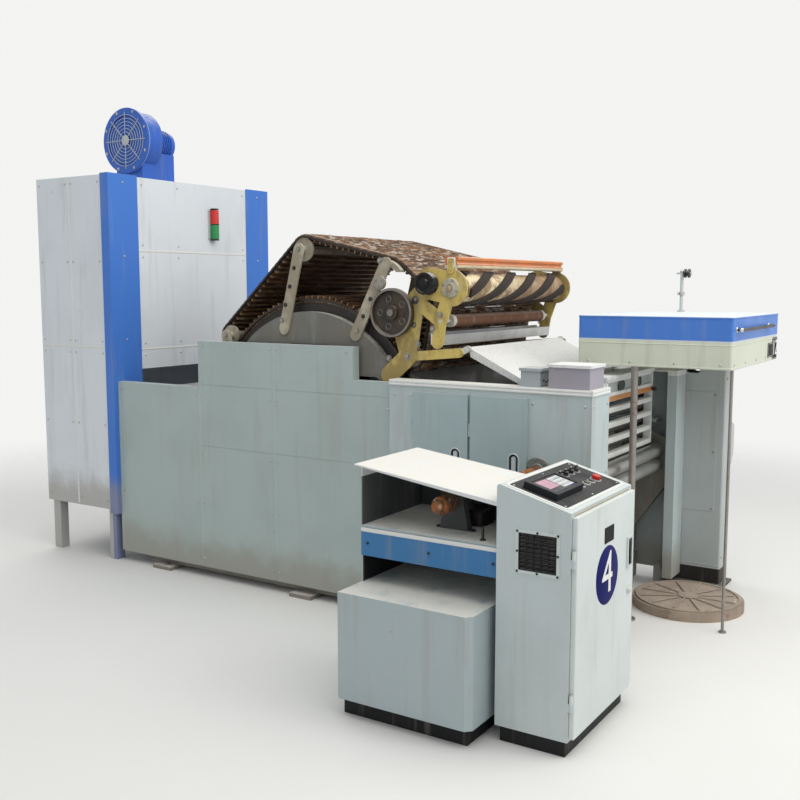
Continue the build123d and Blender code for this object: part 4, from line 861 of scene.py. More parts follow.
@dataclass
class Studio:
    """Pale floor, soft light and the camera at the photograph's viewing angle."""

    camera_place: Point = (-4.606, -3.114, 1.604)
    camera_target: Point = (-0.44, -0.46, 1.04)
    view_angle: float = 44.0
    floor_colour: Colour = (0.8, 0.79, 0.76)

    def build(self) -> None:
        """Make floor, world, lamps and camera."""
        self.floor()
        self.world()
        self.lamps()
        self.camera()

    def floor(self) -> None:
        """A round floor: height 0 everywhere, so r and angle give the points."""
        r = np.array([0.0, 2.0, 6.0, 14.0, 30.0])[:, None]
        a = full_turn(48)[None]
        points = np.stack([r * np.cos(a), r * np.sin(a), np.zeros_like(r * a) - 0.0004], -1)
        Skin().grid(points, around=True).made("floor", self.floor_finish())

    def floor_finish(self) -> bpy.types.Material:
        """A pale floor that fades out with the distance from the machine.

        Its share is 1 up to 2.9 m from the middle and 0 beyond 6.3 m.
        """
        s = NodeSheet("pale floor")
        colour = s.mix(s.noise(0.9, 5.0), self.floor_colour, tuple(c * 0.94 for c in self.floor_colour))
        material = s.finish(colour, 0.7)
        x, y = s.along(Axis.X), s.along(Axis.Y)
        far = s.math("SQRT", s.math("ADD", s.times(x, x), s.times(y, y)))
        share = s.below(far, 4.6, 3.4)
        s.tree.links.new(share, s.shader.inputs["Alpha"])
        return material

    def world(self) -> None:
        """A near-white backdrop for the camera and reflections, a plainer one for light."""
        world = bpy.data.worlds.new("studio")
        bpy.context.scene.world = world
        world.use_nodes = True
        tree = world.node_tree
        tree.nodes.clear()
        output = tree.nodes.new("ShaderNodeOutputWorld")
        light = tree.nodes.new("ShaderNodeBackground")
        light.inputs["Color"].default_value = (0.93, 0.96, 1.0, 1.0)
        light.inputs["Strength"].default_value = 0.58
        seen = tree.nodes.new("ShaderNodeBackground")
        seen.inputs["Color"].default_value = (0.9, 0.9, 0.89, 1.0)
        path = tree.nodes.new("ShaderNodeLightPath")
        either = tree.nodes.new("ShaderNodeMath")
        either.operation = "MAXIMUM"
        tree.links.new(path.outputs["Is Camera Ray"], either.inputs[0])
        tree.links.new(path.outputs["Is Glossy Ray"], either.inputs[1])
        choose = tree.nodes.new("ShaderNodeMixShader")
        tree.links.new(either.outputs[0], choose.inputs[0])
        tree.links.new(light.outputs[0], choose.inputs[1])
        tree.links.new(seen.outputs[0], choose.inputs[2])
        tree.links.new(choose.outputs[0], output.inputs[0])

    def lamps(self) -> None:
        """Two wide soft lamps overhead, like the mill's rows of tubes."""
        for name, place, size, power in (("overhead", (-1.5, -2.2, 4.6), 4.5, 117.0),
                                         ("aisle", (0.6, -4.8, 3.8), 4.0, 104.0),
                                         ("far", (1.5, 3.5, 4.6), 4.0, 75.0)):
            lamp = bpy.data.lights.new(name, "AREA")
            lamp.size = size
            lamp.energy = power
            lamp.color = (1.0, 0.985, 0.96)
            aimed(linked(name, lamp), place, (-0.2, -0.2, 0.8))

    def camera(self) -> None:
        """The camera stands in the aisle at head height and sees the whole machine."""
        data = bpy.data.cameras.new("camera")
        data.sensor_fit = "HORIZONTAL"
        data.angle = math.radians(self.view_angle)
        bpy.context.scene.camera = linked("camera", data)
        aimed(bpy.context.scene.camera, self.camera_place, self.camera_target)


def aimed(obj: bpy.types.Object, place: Point, target: Point) -> None:
    """Put a lamp or camera in its place and point it at its target."""
    obj.location = place
    aim = Vector(target) - Vector(place)
    obj.rotation_euler = aim.to_track_quat("-Z", "Y").to_euler()


# Sub-assemblies and their finishes


@dataclass
class Flats:
    """What dresses the flats: their wire clothing, end bolts and the chain's links.

    Attributes:
        path: the chain's pitch line.
        count: number of flats.
        chain_face: outer face of the chain, from the centre plane.
        base: thickness of a flat's clothed base.
    """

    path: EndlessPath
    count: int = 93
    chain_face: float = 0.557
    base: float = 0.012

    def build(self) -> None:
        """Make the three repeated pieces."""
        places, turns = self.path.places(self.count)
        self.clothing(places, turns)
        self.bolts(places, turns)
        self.links()

    def clothing(self, places: np.ndarray, turns: np.ndarray) -> None:
        """The clothed strip on each flat, thicker with fibre once it has left the cylinder.

        Across a flat its height is h * (1 - v^4), with v from -1 to 1. Over the cylinder h is
        0.6 mm. On the free run it is 3 to 7 mm, in lumps that are a sum of sines along X, with a
        start that differs from flat to flat.
        """
        x = np.linspace(-0.5, 0.5, 41)[None, :, None]
        v = np.linspace(-1.0, 1.0, 6)[None, None, :]
        k = np.arange(len(places))[:, None, None]
        far = np.hypot(places[:, 0], places[:, 1] - CYLINDER_HEIGHT)
        free = np.clip((far - 0.666) / 0.03, 0.0, 1.0)[:, None, None]
        lumps = 0.5 + 0.17 * (np.sin(37 * x + 2.4 * k) + np.sin(83 * x + 5.1 * k)
                              + np.sin(14 * x + 1.3 * k * k))
        high = (0.0006 + free * (0.003 + 0.0042 * lumps)) * (1 - (2 * x) ** 24)
        across = v * (0.0118 + 0.0014 * free * np.sin(51 * x + 3.7 * k))
        out = self.base - 0.0004 + (high + 0.0004) * (1 - v ** 4)
        c, s = np.cos(turns)[:, None, None], np.sin(turns)[:, None, None]
        y = places[:, 0][:, None, None] + across * c + out * s
        z = places[:, 1][:, None, None] + across * s - out * c
        points = np.stack(np.broadcast_arrays(x, y, z), -1)
        skin = Skin()
        for strip in points:
            skin.grid(strip)
        skin.piece("flat_clothing", "flat_clothing", "flat_iron", smooth=50.0)

    def bolts(self, places: np.ndarray, turns: np.ndarray) -> None:
        """A hexagon bolt on each side of the rib at both ends of each flat."""
        skin = Skin()
        for place in lattice((-0.533, 0.533), (-0.0102, 0.0102), -0.0004):
            head = Skin().plug(place, UP, ((0, 0.0052), (0.0045, 0.0052), (0.0055, 0.004)), 6)
            skin.stamp(head, places, turns)
        skin.piece("flat_end_bolts", "bright_bolt", "chain_steel")

    def links(self) -> None:
        """Link plates and pin ends outside both chains, a plate for each half pitch."""
        places, turns = self.path.places(2 * self.count, 0.25)
        skin = Skin()
        a = full_turn(12)
        y = 0.0072 * np.cos(a) + np.where(np.cos(a) > 0, 0.0085, -0.0085)
        z = 0.006 * np.sin(a)
        for side in (-1, 1):
            for keep, x0, x1 in ((0, 0.0, 0.0018), (1, 0.0018, 0.0036)):
                rings = [np.stack([np.full(12, side * (self.chain_face + x)), y * grow, z * grow], -1)
                         for x, grow in ((x0, 0.0), (x0, 1.0), (x1, 1.0), (x1, 0.0))]
                skin.stamp(Skin().grid(np.array(rings), around=True), places[keep::2], turns[keep::2])
            pin = Skin().turned((side * self.chain_face, 0, 0), (side, 0, 0),
                                ((0, 0.0028), (0.0052, 0.0028), (0.0058, 0.0018), (0.0058, 0)), 8)
            skin.stamp(pin, places, turns)
        skin.piece("chain_links", "oiled_steel", "chain_steel", smooth=30.0)


class Wardrobe:
    """Every finish of the machine, made once and put on the CAD nodes and on new pieces."""

    made: ClassVar[dict[str, bpy.types.Material]] = {}

    @classmethod
    def new(cls, name: str) -> bpy.types.Material:
        """The material of a named finish."""
        if name not in cls.made:
            cls.made[name] = FINISHES[name].material()
        return cls.made[name]

    @classmethod
    def dress(cls, nodes: dict[str, bpy.types.Object]) -> None:
        """Give each CAD node its finish through its material slots."""
        for name, obj in nodes.items():
            material = cls.new(NODE_FINISH[name])
            if not obj.data.materials:
                obj.data.materials.append(material)
            for i in range(len(obj.material_slots)):
                obj.material_slots[i].material = material
            log.info("%s: %s", name, NODE_FINISH[name])


WHITE: Colour = (0.7, 0.72, 0.7)
CREAM: Colour = (0.62, 0.65, 0.53)
BLUE: Colour = (0.052, 0.185, 0.6)
SEALING: Colour = (0.72, 0.73, 0.72)
TRIM: Colour = (0.7, 0.72, 0.71)
RECESS: Colour = (0.03, 0.031, 0.032)
VENT_RIM: Colour = (0.56, 0.62, 0.6)
FOOT_BLACK: Colour = (0.012, 0.013, 0.013)

FINISHES: dict[str, Paint | Metal | Plastic | FlatIron | FibreStrip | DrumSkin | WireClothing | Screen] = {
    "frame_castings": Paint("dusty grey castings", (0.17, 0.18, 0.165), 0.6, 0.5, 0.7, 0.8, rust=0.5,
                            stain=0.3),
    "beam_castings": Paint("floor beams", (0.15, 0.16, 0.15), 0.62, 0.7, 0.4, 0.5, rust=0.5,
                           low_dirt=0.12),
    "bend_iron": Metal("dark oiled casting", (0.035, 0.032, 0.03), 0.42, 0.5, 0.1, lint=0.25),
    "flat_iron": FlatIron(),
    "flat_clothing": FibreStrip(),
    "oiled_steel": Metal("dark oiled steel", (0.055, 0.05, 0.046), 0.34, 0.85, 0.15, lint=0.2),
    "bright_bolt": Metal("bolt heads", (0.33, 0.31, 0.28), 0.38, 0.85, 0.2, lint=0.1),
    "zinc": Metal("plated screws", (0.52, 0.52, 0.5), 0.33, 0.9, 0.08, lint=0.05),
    "guide_paint": Paint("worn cream straps", (0.46, 0.43, 0.33), 0.55, 0.4, 0.9, 1.0, rust=0.6,
                         stain=0.5),
    "drum_yellow": Paint("yellow end plates", (0.6, 0.46, 0.13), 0.5, 0.4, 1.0, 1.0, rust=0.8, stain=0.6,
                         patches=(Patch(WHITE, x=(0.0, 0.5885), mirrored=True),)),
    "clearer_orange": Paint("orange clearer bar", (0.66, 0.2, 0.05), 0.45, 0.55, 0.6, 0.4, stain=0.25,
                            patches=(Patch((0.66, 0.56, 0.38), z=(1.66, 1.7045)),)),
    "trough": Metal("folded aluminium", (0.62, 0.62, 0.61), 0.34, 0.85, 0.0, grain=240.0,
                    grain_axis=Axis.Y, lint=0.2),
    "drum": DrumSkin(DRUM_AXIS, 0.067),
    "brown_roller": Paint("brown cleaner roller", (0.13, 0.055, 0.028), 0.8, 0.2, 0.5, 0.5, speckle=0.4,
                          patches=(Patch((0.55, 0.52, 0.47), x=(0.492, 0.7), mirrored=True),)),
    "clearer_cloth": Paint("clearer cloth", (0.12, 0.1, 0.085), 0.95, 0.5, 0.0, 0.3, speckle=0.5,
                           patches=(Patch((0.015, 0.015, 0.016), x=(0.6, 0.7), mirrored=True),)),
    "panel_white": Paint("white front panels", WHITE, 0.4, 0.3, 0.5, 0.35, speckle=0.12, rust=0.15,
                         patches=(Patch((0.36, 0.39, 0.39), x=(-0.1955, 0.4295), y=(-1.4535, -1.4505),
                                        z=(1.1072, 1.1558)),
                                  Patch((0.012, 0.013, 0.014), x=(-0.19, 0.424), y=(-1.4505, -1.4),
                                        z=(1.105, 1.158)))),
    "hood_white": Paint("white hood", (0.68, 0.69, 0.665), 0.42, 0.3, 0.6, 0.8, speckle=0.9, rust=0.3),
    "rail_white": Paint("white rails", (0.7, 0.72, 0.69), 0.4, 0.5, 0.35, 0.35, speckle=0.1, rust=0.15,
                        patches=(Patch((0.52, 0.22, 0.06), z=(1.0655, 1.0905)),
                                 Patch((0.03, 0.03, 0.03), x=(-0.23, 0.465), y=(-1.412, -1.37),
                                       z=(0.81, 1.075)))),
    "panel_grey": Paint("grey-green covers", (0.4, 0.475, 0.455), 0.42, 0.35, 0.45, 0.35, rust=0.15,
                        low_dirt=0.2),
    "casing": Paint("front casings", (0.46, 0.53, 0.53), 0.42, 0.5, 0.5, 0.4, rust=0.2, low_dirt=0.2,
                    patches=(Patch((0.72, 0.73, 0.7), z=(1.1435, 1.19)),)),
    "door_grey": Paint("grey-blue doors", (0.365, 0.455, 0.462), 0.4, 0.4, 0.45, 0.4, rust=0.15,
                       low_dirt=0.22),
    "box_mauve": Paint("small housings", (0.34, 0.32, 0.37), 0.4, 0.4, 0.4, 0.3,
                       patches=(Patch(SEALING, x=(-0.71, -0.5), y=(-1.6, -1.36),
                                      z=(1.2605, 1.3)),
                                Patch(SEALING, x=(-0.71, -0.5), y=(-1.35, -1.2),
                                      z=(1.2385, 1.3)), Patch((0.36, 0.4, 0.41), y=(-1.345, -1.2)))),
    "cable_black": Plastic("black lead", (0.014, 0.014, 0.014), 0.5, 300.0, 0.3),
    "chute_white": Paint("white chute", (0.7, 0.74, 0.77), 0.38, 0.25, 0.35, 0.25, low_dirt=0.45,
                         patches=(Patch(BLUE, x=(0.4745, 0.75), y=(1.3, 1.4005), mirrored=True),)),
    "fan_blue": Paint("blue fan", (0.03, 0.12, 0.5), 0.36, 0.45, 0.3, 0.25,
                      patches=(Patch((0.5, 0.53, 0.55), x=(-0.361, -0.3585)),)),
    "lamp": Paint("signal lamp", (0.5, 0.52, 0.52), 0.25, 0.25, 0.1, 0.1, rust=0.0,
                  patches=(Patch((0.62, 0.028, 0.018), y=(1.28, 1.3315), z=(2.0015, 2.09)),
                           Patch((0.012, 0.26, 0.075), y=(1.28, 1.3315), z=(1.9, 1.9945)))),
    "plate_steel": Metal("feed plate", (0.42, 0.41, 0.39), 0.36, 0.9, 0.1, grain=200.0, lint=0.3),
    "bay": Paint("drive bay", (0.41, 0.475, 0.485), 0.5, 0.8, 0.5, 0.45, rust=0.3, gloss=0.2,
                 patches=(Patch((0.055, 0.19, 0.4), x=(-1.58, -1.5), z=(0.5845, 0.6855)),
                          Patch(FOOT_BLACK, z=(-0.01, 0.0695)),
                          Patch((0.016, 0.017, 0.018), x=(-1.5585, -1.1), z=(0.4805, 0.5845)),
                          Patch((0.075, 0.08, 0.078), x=(-1.5785, -1.1), z=(0.7025, 0.8905)),
                          Patch(TRIM, y=(-1.6, -1.45), z=(0.8475, 0.97)),
                          Patch(TRIM, y=(-1.46, -1.25), z=(0.868, 0.97)),
                          Patch(TRIM, y=(-1.26, -0.95), z=(0.8905, 0.97)))),
    "motor_grey": Paint("grey motor", (0.14, 0.18, 0.18), 0.5, 0.6, 0.4, 0.4, rust=0.2),
    "belt": Plastic("flat belt", (0.022, 0.021, 0.02), 0.62, 500.0, 0.4),
    # Shell and door are one paint: the shell's colour is darker as painted shade on its sides, and the
    # door's is lighter as painted light on its face toward the aisle.
    "cabinet_paint": Paint("cabinet", (0.52, 0.58, 0.575), 0.45, 0.3, 0.3, 0.35, gloss=0.2,
                           patches=(Patch(FOOT_BLACK, z=(-0.01, 0.0595)),)),
    "cabinet_door": Paint("cabinet door painted lighter", (0.63, 0.68, 0.66), 0.45, 0.25, 0.35, 0.35, gloss=0.2,
                          patches=(Patch(RECESS, x=(-1.0915, -1.0565), y=(-1.8902, -1.8853),
                                         z=(0.5655, 0.6665)),
                                   Patch(RECESS, x=(-1.0815, -1.0665), y=(-1.92, -1.8853),
                                         z=(0.5715, 0.6605)))),
    "vent_black": Paint("vent frames", (0.016, 0.017, 0.017), 0.7, 0.3, 0.2, 0.3, gloss=0.1,
                        patches=(Patch(VENT_RIM, y=(-1.9, -1.8165)),
                                 Patch(VENT_RIM, y=(-1.6755, -1.6)),
                                 Patch(VENT_RIM, z=(0.7705, 0.8)),
                                 Patch(VENT_RIM, z=(0.6, 0.6395)))),
    "panel_dark": Paint("dark speckled panel", (0.018, 0.021, 0.025), 0.6, 0.07, 0.0, 0.25, rust=0.0,
                        gloss=0.1),
    "head_cream": Paint("cream head", CREAM, 0.36, 0.35, 0.45, 0.35, rust=0.15),
    "lid_blue": Paint("blue lid", (0.062, 0.195, 0.6), 0.32, 0.15, 0.3, 0.45,
                      patches=(Patch((0.66, 0.72, 0.74), z=(1.4676, 1.5)),
                               Patch((0.6, 0.66, 0.7), z=(1.355, 1.3615)))),
    "column_grey": Paint("column", (0.44, 0.475, 0.47), 0.48, 0.25, 0.6, 0.5, rust=0.3, speckle=0.15,
                         patches=(Patch((0.02, 0.018, 0.016), z=(-0.01, 0.105)),)),
    "guard_grey": Paint("gear guard", (0.5, 0.54, 0.53), 0.42, 0.4, 0.4, 0.35, rust=0.15),
    "post_steel": Metal("dull steel tube", (0.34, 0.32, 0.29), 0.45, 0.8, 0.35, lint=0.2),
    "bed_iron": Metal("rusty bed casting", (0.4, 0.32, 0.25), 0.8, 0.2, 0.35, (0.3, 0.19, 0.13),
                      lint=0.4),
    "turntable": Metal("turntable", (0.44, 0.36, 0.29), 0.75, 0.25, 0.3, (0.31, 0.2, 0.14), grain=120.0,
                       lint=0.45),
    "roll_wire": WireClothing("wire-clothed cylinder", (0.33, 0.33, 0.34)),
    "doffer_wire": WireClothing("wire-clothed doffer", (0.36, 0.36, 0.37)),
    "licker_wire": WireClothing("licker-in teeth", (0.24, 0.24, 0.25)),
    "roll_steel": Metal("ground rolls", (0.5, 0.49, 0.47), 0.25, 0.95, 0.1, grain=260.0, lint=0.2),
    "shaft_rust": Metal("rusty cross shaft", (0.1, 0.055, 0.035), 0.75, 0.35, 0.62, (0.34, 0.115, 0.03),
                        lint=0.6),
    "wheel_black": Paint("black wheels", (0.014, 0.014, 0.014), 0.5, 0.35, 0.0, 0.5, rust=0.2, stain=0.3),
    "wheel_steel": Metal("chain wheels", (0.22, 0.2, 0.18), 0.4, 0.85, 0.3, lint=0.3),
    "coiler": Metal("coiler plate", (0.48, 0.47, 0.45), 0.3, 0.9, 0.1, lint=0.35),
    "handle_dark": Metal("dark bar handle", (0.05, 0.048, 0.05), 0.35, 0.6, 0.1, lint=0.1),
    "pole_grey": Paint("light grey pole", (0.46, 0.49, 0.49), 0.4, 0.3, 0.2, 0.3),
    "pulley_black": Plastic("black pulley", (0.015, 0.015, 0.016), 0.35, 300.0, 0.3),
    "knob_black": Plastic("black knobs", (0.014, 0.014, 0.015), 0.34, 420.0, 0.25),
    "button_red": Plastic("red button", (0.6, 0.02, 0.015), 0.3, 420.0, 0.1, 0.3),
    "switch_black": Plastic("main switch", (0.018, 0.018, 0.02), 0.4, 420.0, 0.25),
    "number_black": Plastic("black number plates", (0.008, 0.008, 0.009), 0.5, 300.0, 0.1, gloss=0.08),
    "number_white": Plastic("white numerals", (0.74, 0.74, 0.7), 0.4, 300.0, 0.05),
    # Black rubber of caps and rims; the same near-black is also the painted shade in the door and lid gaps.
    "rubber": Plastic("black rubber and gap shade", (0.016, 0.016, 0.016), 0.65, 260.0, 0.35),
    # Near-black painted shade inside the latch recesses.
    "gap_painted_shade": Plastic("openings painted as shade", (0.01, 0.01, 0.01), 0.9, 200.0, 0.1),
    "glass": Plastic("dark glass", (0.012, 0.016, 0.018), 0.08, 40.0, 0.1, 0.6),
    "screen": Screen("display", (0.62, 0.36, 0.44), 0.004),
    "screen_white": Screen("display field", (0.74, 0.76, 0.78)),
    "seal_white": Plastic("white trims", (0.68, 0.69, 0.66), 0.4, 200.0, 0.3),
    "chrome": Metal("bright latches", (0.66, 0.66, 0.65), 0.2, 0.95, 0.0, lint=0.05),
    "brass": Metal("brass", (0.52, 0.36, 0.14), 0.35, 0.9, 0.0, lint=0.1),
    "field_blue": Plastic("navy number field", (0.004, 0.007, 0.1), 0.6, 300.0, 0.05, gloss=0.08),
    "vent_wire": Metal("vent wire", (0.1, 0.1, 0.095), 0.5, 0.6, 0.2, lint=0.3),
    "bezel_grey": Plastic("light grey bezels", (0.5, 0.54, 0.54), 0.4, 300.0, 0.25),
}

NODE_FINISH: dict[str, str] = {
    "base_frame": "beam_castings", "side_frames": "frame_castings", "flexible_bends": "bend_iron",
    "flat_bars": "flat_iron", "flat_chains": "oiled_steel", "flat_guides": "guide_paint",
    "drum_frame": "drum_yellow", "clearer_bar": "clearer_orange", "strip_trough": "trough",
    "instrument_box": "panel_white", "web_rails": "rail_white", "side_casings": "casing",
    "side_covers": "panel_grey", "utility_boxes": "box_mauve", "sensor_cable": "cable_black",
    "chute_body": "chute_white", "chute_fan": "fan_blue", "signal_lamp": "lamp",
    "feed_plate": "plate_steel", "drive_bay_case": "bay", "main_motor": "motor_grey", "main_belt": "belt",
    "cabinet_shell": "cabinet_paint", "vent_grilles": "vent_black", "display_unit": "panel_dark",
    "head_box": "head_cream", "column": "column_grey", "gear_guard": "guard_grey",
    "support_posts": "post_steel", "can_base": "bed_iron", "cylinder": "roll_wire",
    "doffer": "doffer_wire", "licker_in": "licker_wire", "feed_roll": "roll_steel",
    "stripping_roll": "roll_steel", "crush_roll_upper": "roll_steel", "crush_roll_lower": "roll_steel",
    "spiral_drum": "drum", "clearer_roll": "clearer_cloth", "cleaner_roller": "brown_roller",
    "doffer_hood": "hood_white", "side_door_left_front": "door_grey", "side_door_left_rear": "door_grey",
    "side_door_right": "door_grey", "cabinet_door": "cabinet_door", "main_switch": "switch_black",
    "knob_1": "knob_black", "knob_2": "knob_black", "knob_3": "knob_black", "stop_button": "button_red",
    "head_lid": "lid_blue", "lid_handle": "handle_dark", "guide_pole": "pole_grey",
    "guide_pulley": "pulley_black", "coiler_plate": "coiler", "turntable": "turntable",
    "drive_shaft": "shaft_rust", "motor_pulley": "roll_steel", "flat_wheels_front": "wheel_steel",
    "flats_drive_wheel": "wheel_black",
}


@dataclass
class CoilerHead:
    """The coiler head's trim: number plate, seams, screws, handle collars, lid ribs and plate gear.

    Attributes:
        left, right, front, rear: the box's sides in X and Y.
        low, split, top: heights of its underside, of the lid's lower edge and of the lid's top.
        corner: radius of its upright corners.
        number, bare: middle (x, z) of the number plate and of the bare plate.
        handle: height of the bar handle's axis.
        pole: the guide pole's (x, y).
        screw: radius of the box's screw heads.
    """

    left: float = -0.11
    right: float = 0.8
    front: float = -2.0
    rear: float = -1.27
    low: float = 1.233
    split: float = 1.356
    top: float = 1.47
    corner: float = 0.012
    number: tuple[float, float] = (0.733, 1.292)
    bare: tuple[float, float] = (0.628, 1.287)
    handle: float = 1.413
    pole: tuple[float, float] = (0.77, -1.5)
    screw: float = 0.0055

    def build(self) -> None:
        """Make the head's pieces in order."""
        self.number_plate()
        self.seams()
        self.fasteners()
        self.handle_collars()
        self.inside()
        self.pole_trim()

    def number_plate(self) -> None:
        """A black plate with a thin light rim and a plain number, and a bare small plate beside it."""
        (x, z), (bare_x, bare_z) = self.number, self.bare
        plate = Skin()
        plate.rounded((x, self.front, z), RIGHT, UP, FRONT, (0.05, 0.056), 0.008, 0.003)
        plate.rounded((bare_x, self.front, bare_z), RIGHT, UP, FRONT, (0.046, 0.036), 0.003, 0.0022)
        plate.piece("head_plates", "number_black", "head_cream")
        rim = Skin()
        rim.band(rim_band(x, self.front - 0.0031, z, 0.046, 0.052, 0.0016, 0.0006))
        rim.band(rim_band(bare_x, self.front - 0.0023, bare_z, 0.042, 0.032, 0.0016, 0.0006))
        rim.piece("head_plate_rims", "number_white", "head_cream", smooth=None)
        Lettering("12", (x, self.front - 0.0036, z), 0.078, RIGHT, UP).add(
            "head_number", "number_white", "head_cream")

    def seams(self) -> None:
        """A near-black strip in the seam under the lid as painted shade, and a folded lip along the box's
        upper edge.

        Both follow one rounded rectangle; the lip is a half round carried along it.
        """
        outline = self.corners(0)
        # Painted shade: this near-black strip lies inside the box's outline and darkens the seam under the
        # lid.
        gap_shade = ((0, -0.0016), (0.0014, -0.0012), (0.0014, 0.0002), (0, 0.0002))
        Skin().band(loop_profile(self.corners(-0.0035), gap_shade, self.split)).piece(
            "lid_seam_shade", "rubber", "head_cream", smooth=None)
        upper = ((-0.001, -0.016), (0.0012, -0.0155), (0.0022, -0.0135), (0.0012, -0.0115),
                 (-0.001, -0.011))
        lower = ((-0.001, 0.001), (0.0012, 0.0015), (0.0026, 0.0055), (0.0012, 0.0095), (-0.001, 0.01))
        lip = Skin()
        lip.band(loop_profile(outline, upper, self.split))
        lip.band(loop_profile(outline, lower, self.low))
        lip.piece("head_folds", "head_cream", "head_cream", smooth=50.0)
        rim = ((-0.001, -0.0105), (0.0016, -0.01), (0.0024, -0.006), (0.0016, -0.002), (-0.001, -0.0015))
        Skin().band(loop_profile(outline, rim, self.top)).piece(
            "lid_rim", "lid_blue", "lid_blue", "head_lid", smooth=50.0)

    def corners(self, grow: float) -> np.ndarray:
        """The box's rounded outline (n, 2), moved outwards by grow."""
        return rounded_outline(self.left - grow, self.right + grow, self.front - grow, self.rear + grow,
                               self.corner, 7)

    def fasteners(self) -> None:
        """Domed screws along the box's lower edge and round its hinge lugs."""
        skin = Skin()
        z = self.low + 0.022
        along = np.linspace(-1.95, -1.32, 4)
        skin.screws(lattice(np.linspace(-0.075, 0.54, 4), self.front, z), FRONT, self.screw)
        skin.screws(lattice(self.left, along, z), LEFT, self.screw)
        skin.screws(lattice(self.right, along, z), RIGHT, self.screw)
        skin.screws(lattice((-0.085, 0.06, 0.25, 0.44, 0.62, 0.72, 0.775), self.rear, z), BACK, self.screw)
        skin.piece("head_screws", "zinc", "head_cream")

    def handle_collars(self) -> None:
        """Turned collars where the bar handle's standoffs meet the lid, end caps and a clip."""
        skin = Skin()
        for x in (-0.0505, 0.5767):
            skin.plug((x, self.front + 0.0005, self.handle), FRONT,
                      ((0, 0.014), (0.003, 0.014), (0.0055, 0.0105)), 20)
        for x, out in ((-0.0645, LEFT), (0.5907, RIGHT)):
            skin.plug((x, -2.0247, self.handle), out,
                      ((-0.012, 0.0092), (0.001, 0.0092), (0.0035, 0.0062)), 16)
        skin.piece("handle_collars", "chrome", "handle_dark", "head_lid")
        Skin().plug((0.405, -2.0245, self.handle), RIGHT, ((-0.007, 0.0094), (0.007, 0.0094)), 12).piece(
            "handle_clip", "handle_dark", "handle_dark", "head_lid")

    def inside(self) -> None:
        """Channel ribs inside the lid, and teeth round the coiler plate's flange.

        The teeth's radius is r0 + h * smooth step of the cosine of 96 times the angle.
        """
        ribs = Skin()
        x = np.linspace(self.left + 0.012, self.right - 0.012, 9)
        section = np.array([(-0.016, 0.0), (-0.014, -0.013), (0.014, -0.013), (0.016, 0.0)])
        for y in (-1.86, -1.62, -1.40):
            ribs.grid(np.stack([np.broadcast_to(x[:, None], (9, 4)),
                                y + np.broadcast_to(section[:, 0], (9, 4)),
                                1.4648 + np.broadcast_to(section[:, 1], (9, 4))], -1), around=True)
        ribs.piece("lid_ribs", "seal_white", "lid_blue", "head_lid", smooth=None)
        teeth = 96
        middle_x, middle_y = COILER_AXIS
        a = full_turn(teeth * 8)
        r = 0.2295 + 0.0042 * np.clip(0.5 + 1.6 * np.cos(teeth * a), 0.0, 1.0)
        rings = [(0.21, 1.2536), (r, 1.2536), (r, 1.2626), (0.21, 1.2634)]
        points = np.array([np.stack([middle_x + np.broadcast_to(q, a.shape) * np.cos(a),
                                     middle_y + np.broadcast_to(q, a.shape) * np.sin(a),
                                     np.full(a.shape, z)], -1) for q, z in rings])
        Skin().band(points).piece("coiler_gear", "oiled_steel", "roll_steel", "coiler_plate", smooth=30.0)

    def pole_trim(self) -> None:
        """A clamp collar with its screw, an end knob and a fixing ring on the guide pole."""
        x, y = self.pole
        skin = Skin()
        skin.turned((x, y, 1.56), UP,
                    ((0, 0.0088), (0, 0.016), (0.016, 0.016), (0.018, 0.014), (0.018, 0.0088)), 20)
        skin.turned((x, y + 0.016, 1.568), BACK,
                    ((-0.002, 0), (-0.002, 0.005), (0.008, 0.005), (0.009, 0)), 8)
        skin.turned((x, y, 1.685), UP,
                    ((-0.004, 0), (-0.004, 0.0105), (0.004, 0.0125), (0.01, 0.008), (0.012, 0)), 16)
        skin.screws(circle((x, y, self.top + 0.008), 0.0145, (0.6, 2.7, 4.8), Axis.Z), UP, 0.0034)
        skin.piece("pole_collars", "zinc", "post_steel", "head_lid")
        nut = Skin().plug((x, y - 0.046, 1.677), FRONT,
                          ((-0.003, 0.0085), (0.003, 0.0085), (0.005, 0.005)), 12)
        nut.piece("pulley_nut", "zinc", "post_steel", "head_lid")


def rim_band(x: float, y: float, z: float, wide: float, high: float, width: float,
             thick: float) -> np.ndarray:
    """A thin rectangular frame in the XZ plane as a closed band of four corners by four rings.

    Each ring is a rectangle; the inner one is smaller by the band's width.
    """
    signs = np.array([(-1, -1), (1, -1), (1, 1), (-1, 1)], float)
    rings = []
    for inset, depth in ((0.0, 0.0), (0.0, -thick), (width, -thick), (width, 0.0)):
        rings.append(np.stack([x + signs[:, 0] * (wide - inset), np.full(4, y + depth),
                               z + signs[:, 1] * (high - inset)], -1))
    return np.array(rings)


def loop_profile(outline: np.ndarray, profile: Sequence[tuple[float, float]], height: float) -> np.ndarray:
    """A small profile carried along a closed outline in plan.

    Each outline point moves along its outward normal by the profile's first number and up by
    its second.

    Args:
        outline: points (n, 2), anticlockwise.
        profile: (outward, up) pairs in order.
        height: the height that up is counted from.

    Returns:
        Points (n, len(profile), 3).
    """
    ahead = np.roll(outline, -1, 0) - np.roll(outline, 1, 0)
    normal = np.stack([ahead[:, 1], -ahead[:, 0]], -1)
    normal /= np.linalg.norm(normal, axis=1)[:, None]
    out, up = np.array(profile, float).T
    flat = outline[:, None, :] + normal[:, None, :] * out[None, :, None]
    return np.concatenate([flat, np.broadcast_to((height + up)[None, :, None], flat.shape[:2] + (1,))], -1)


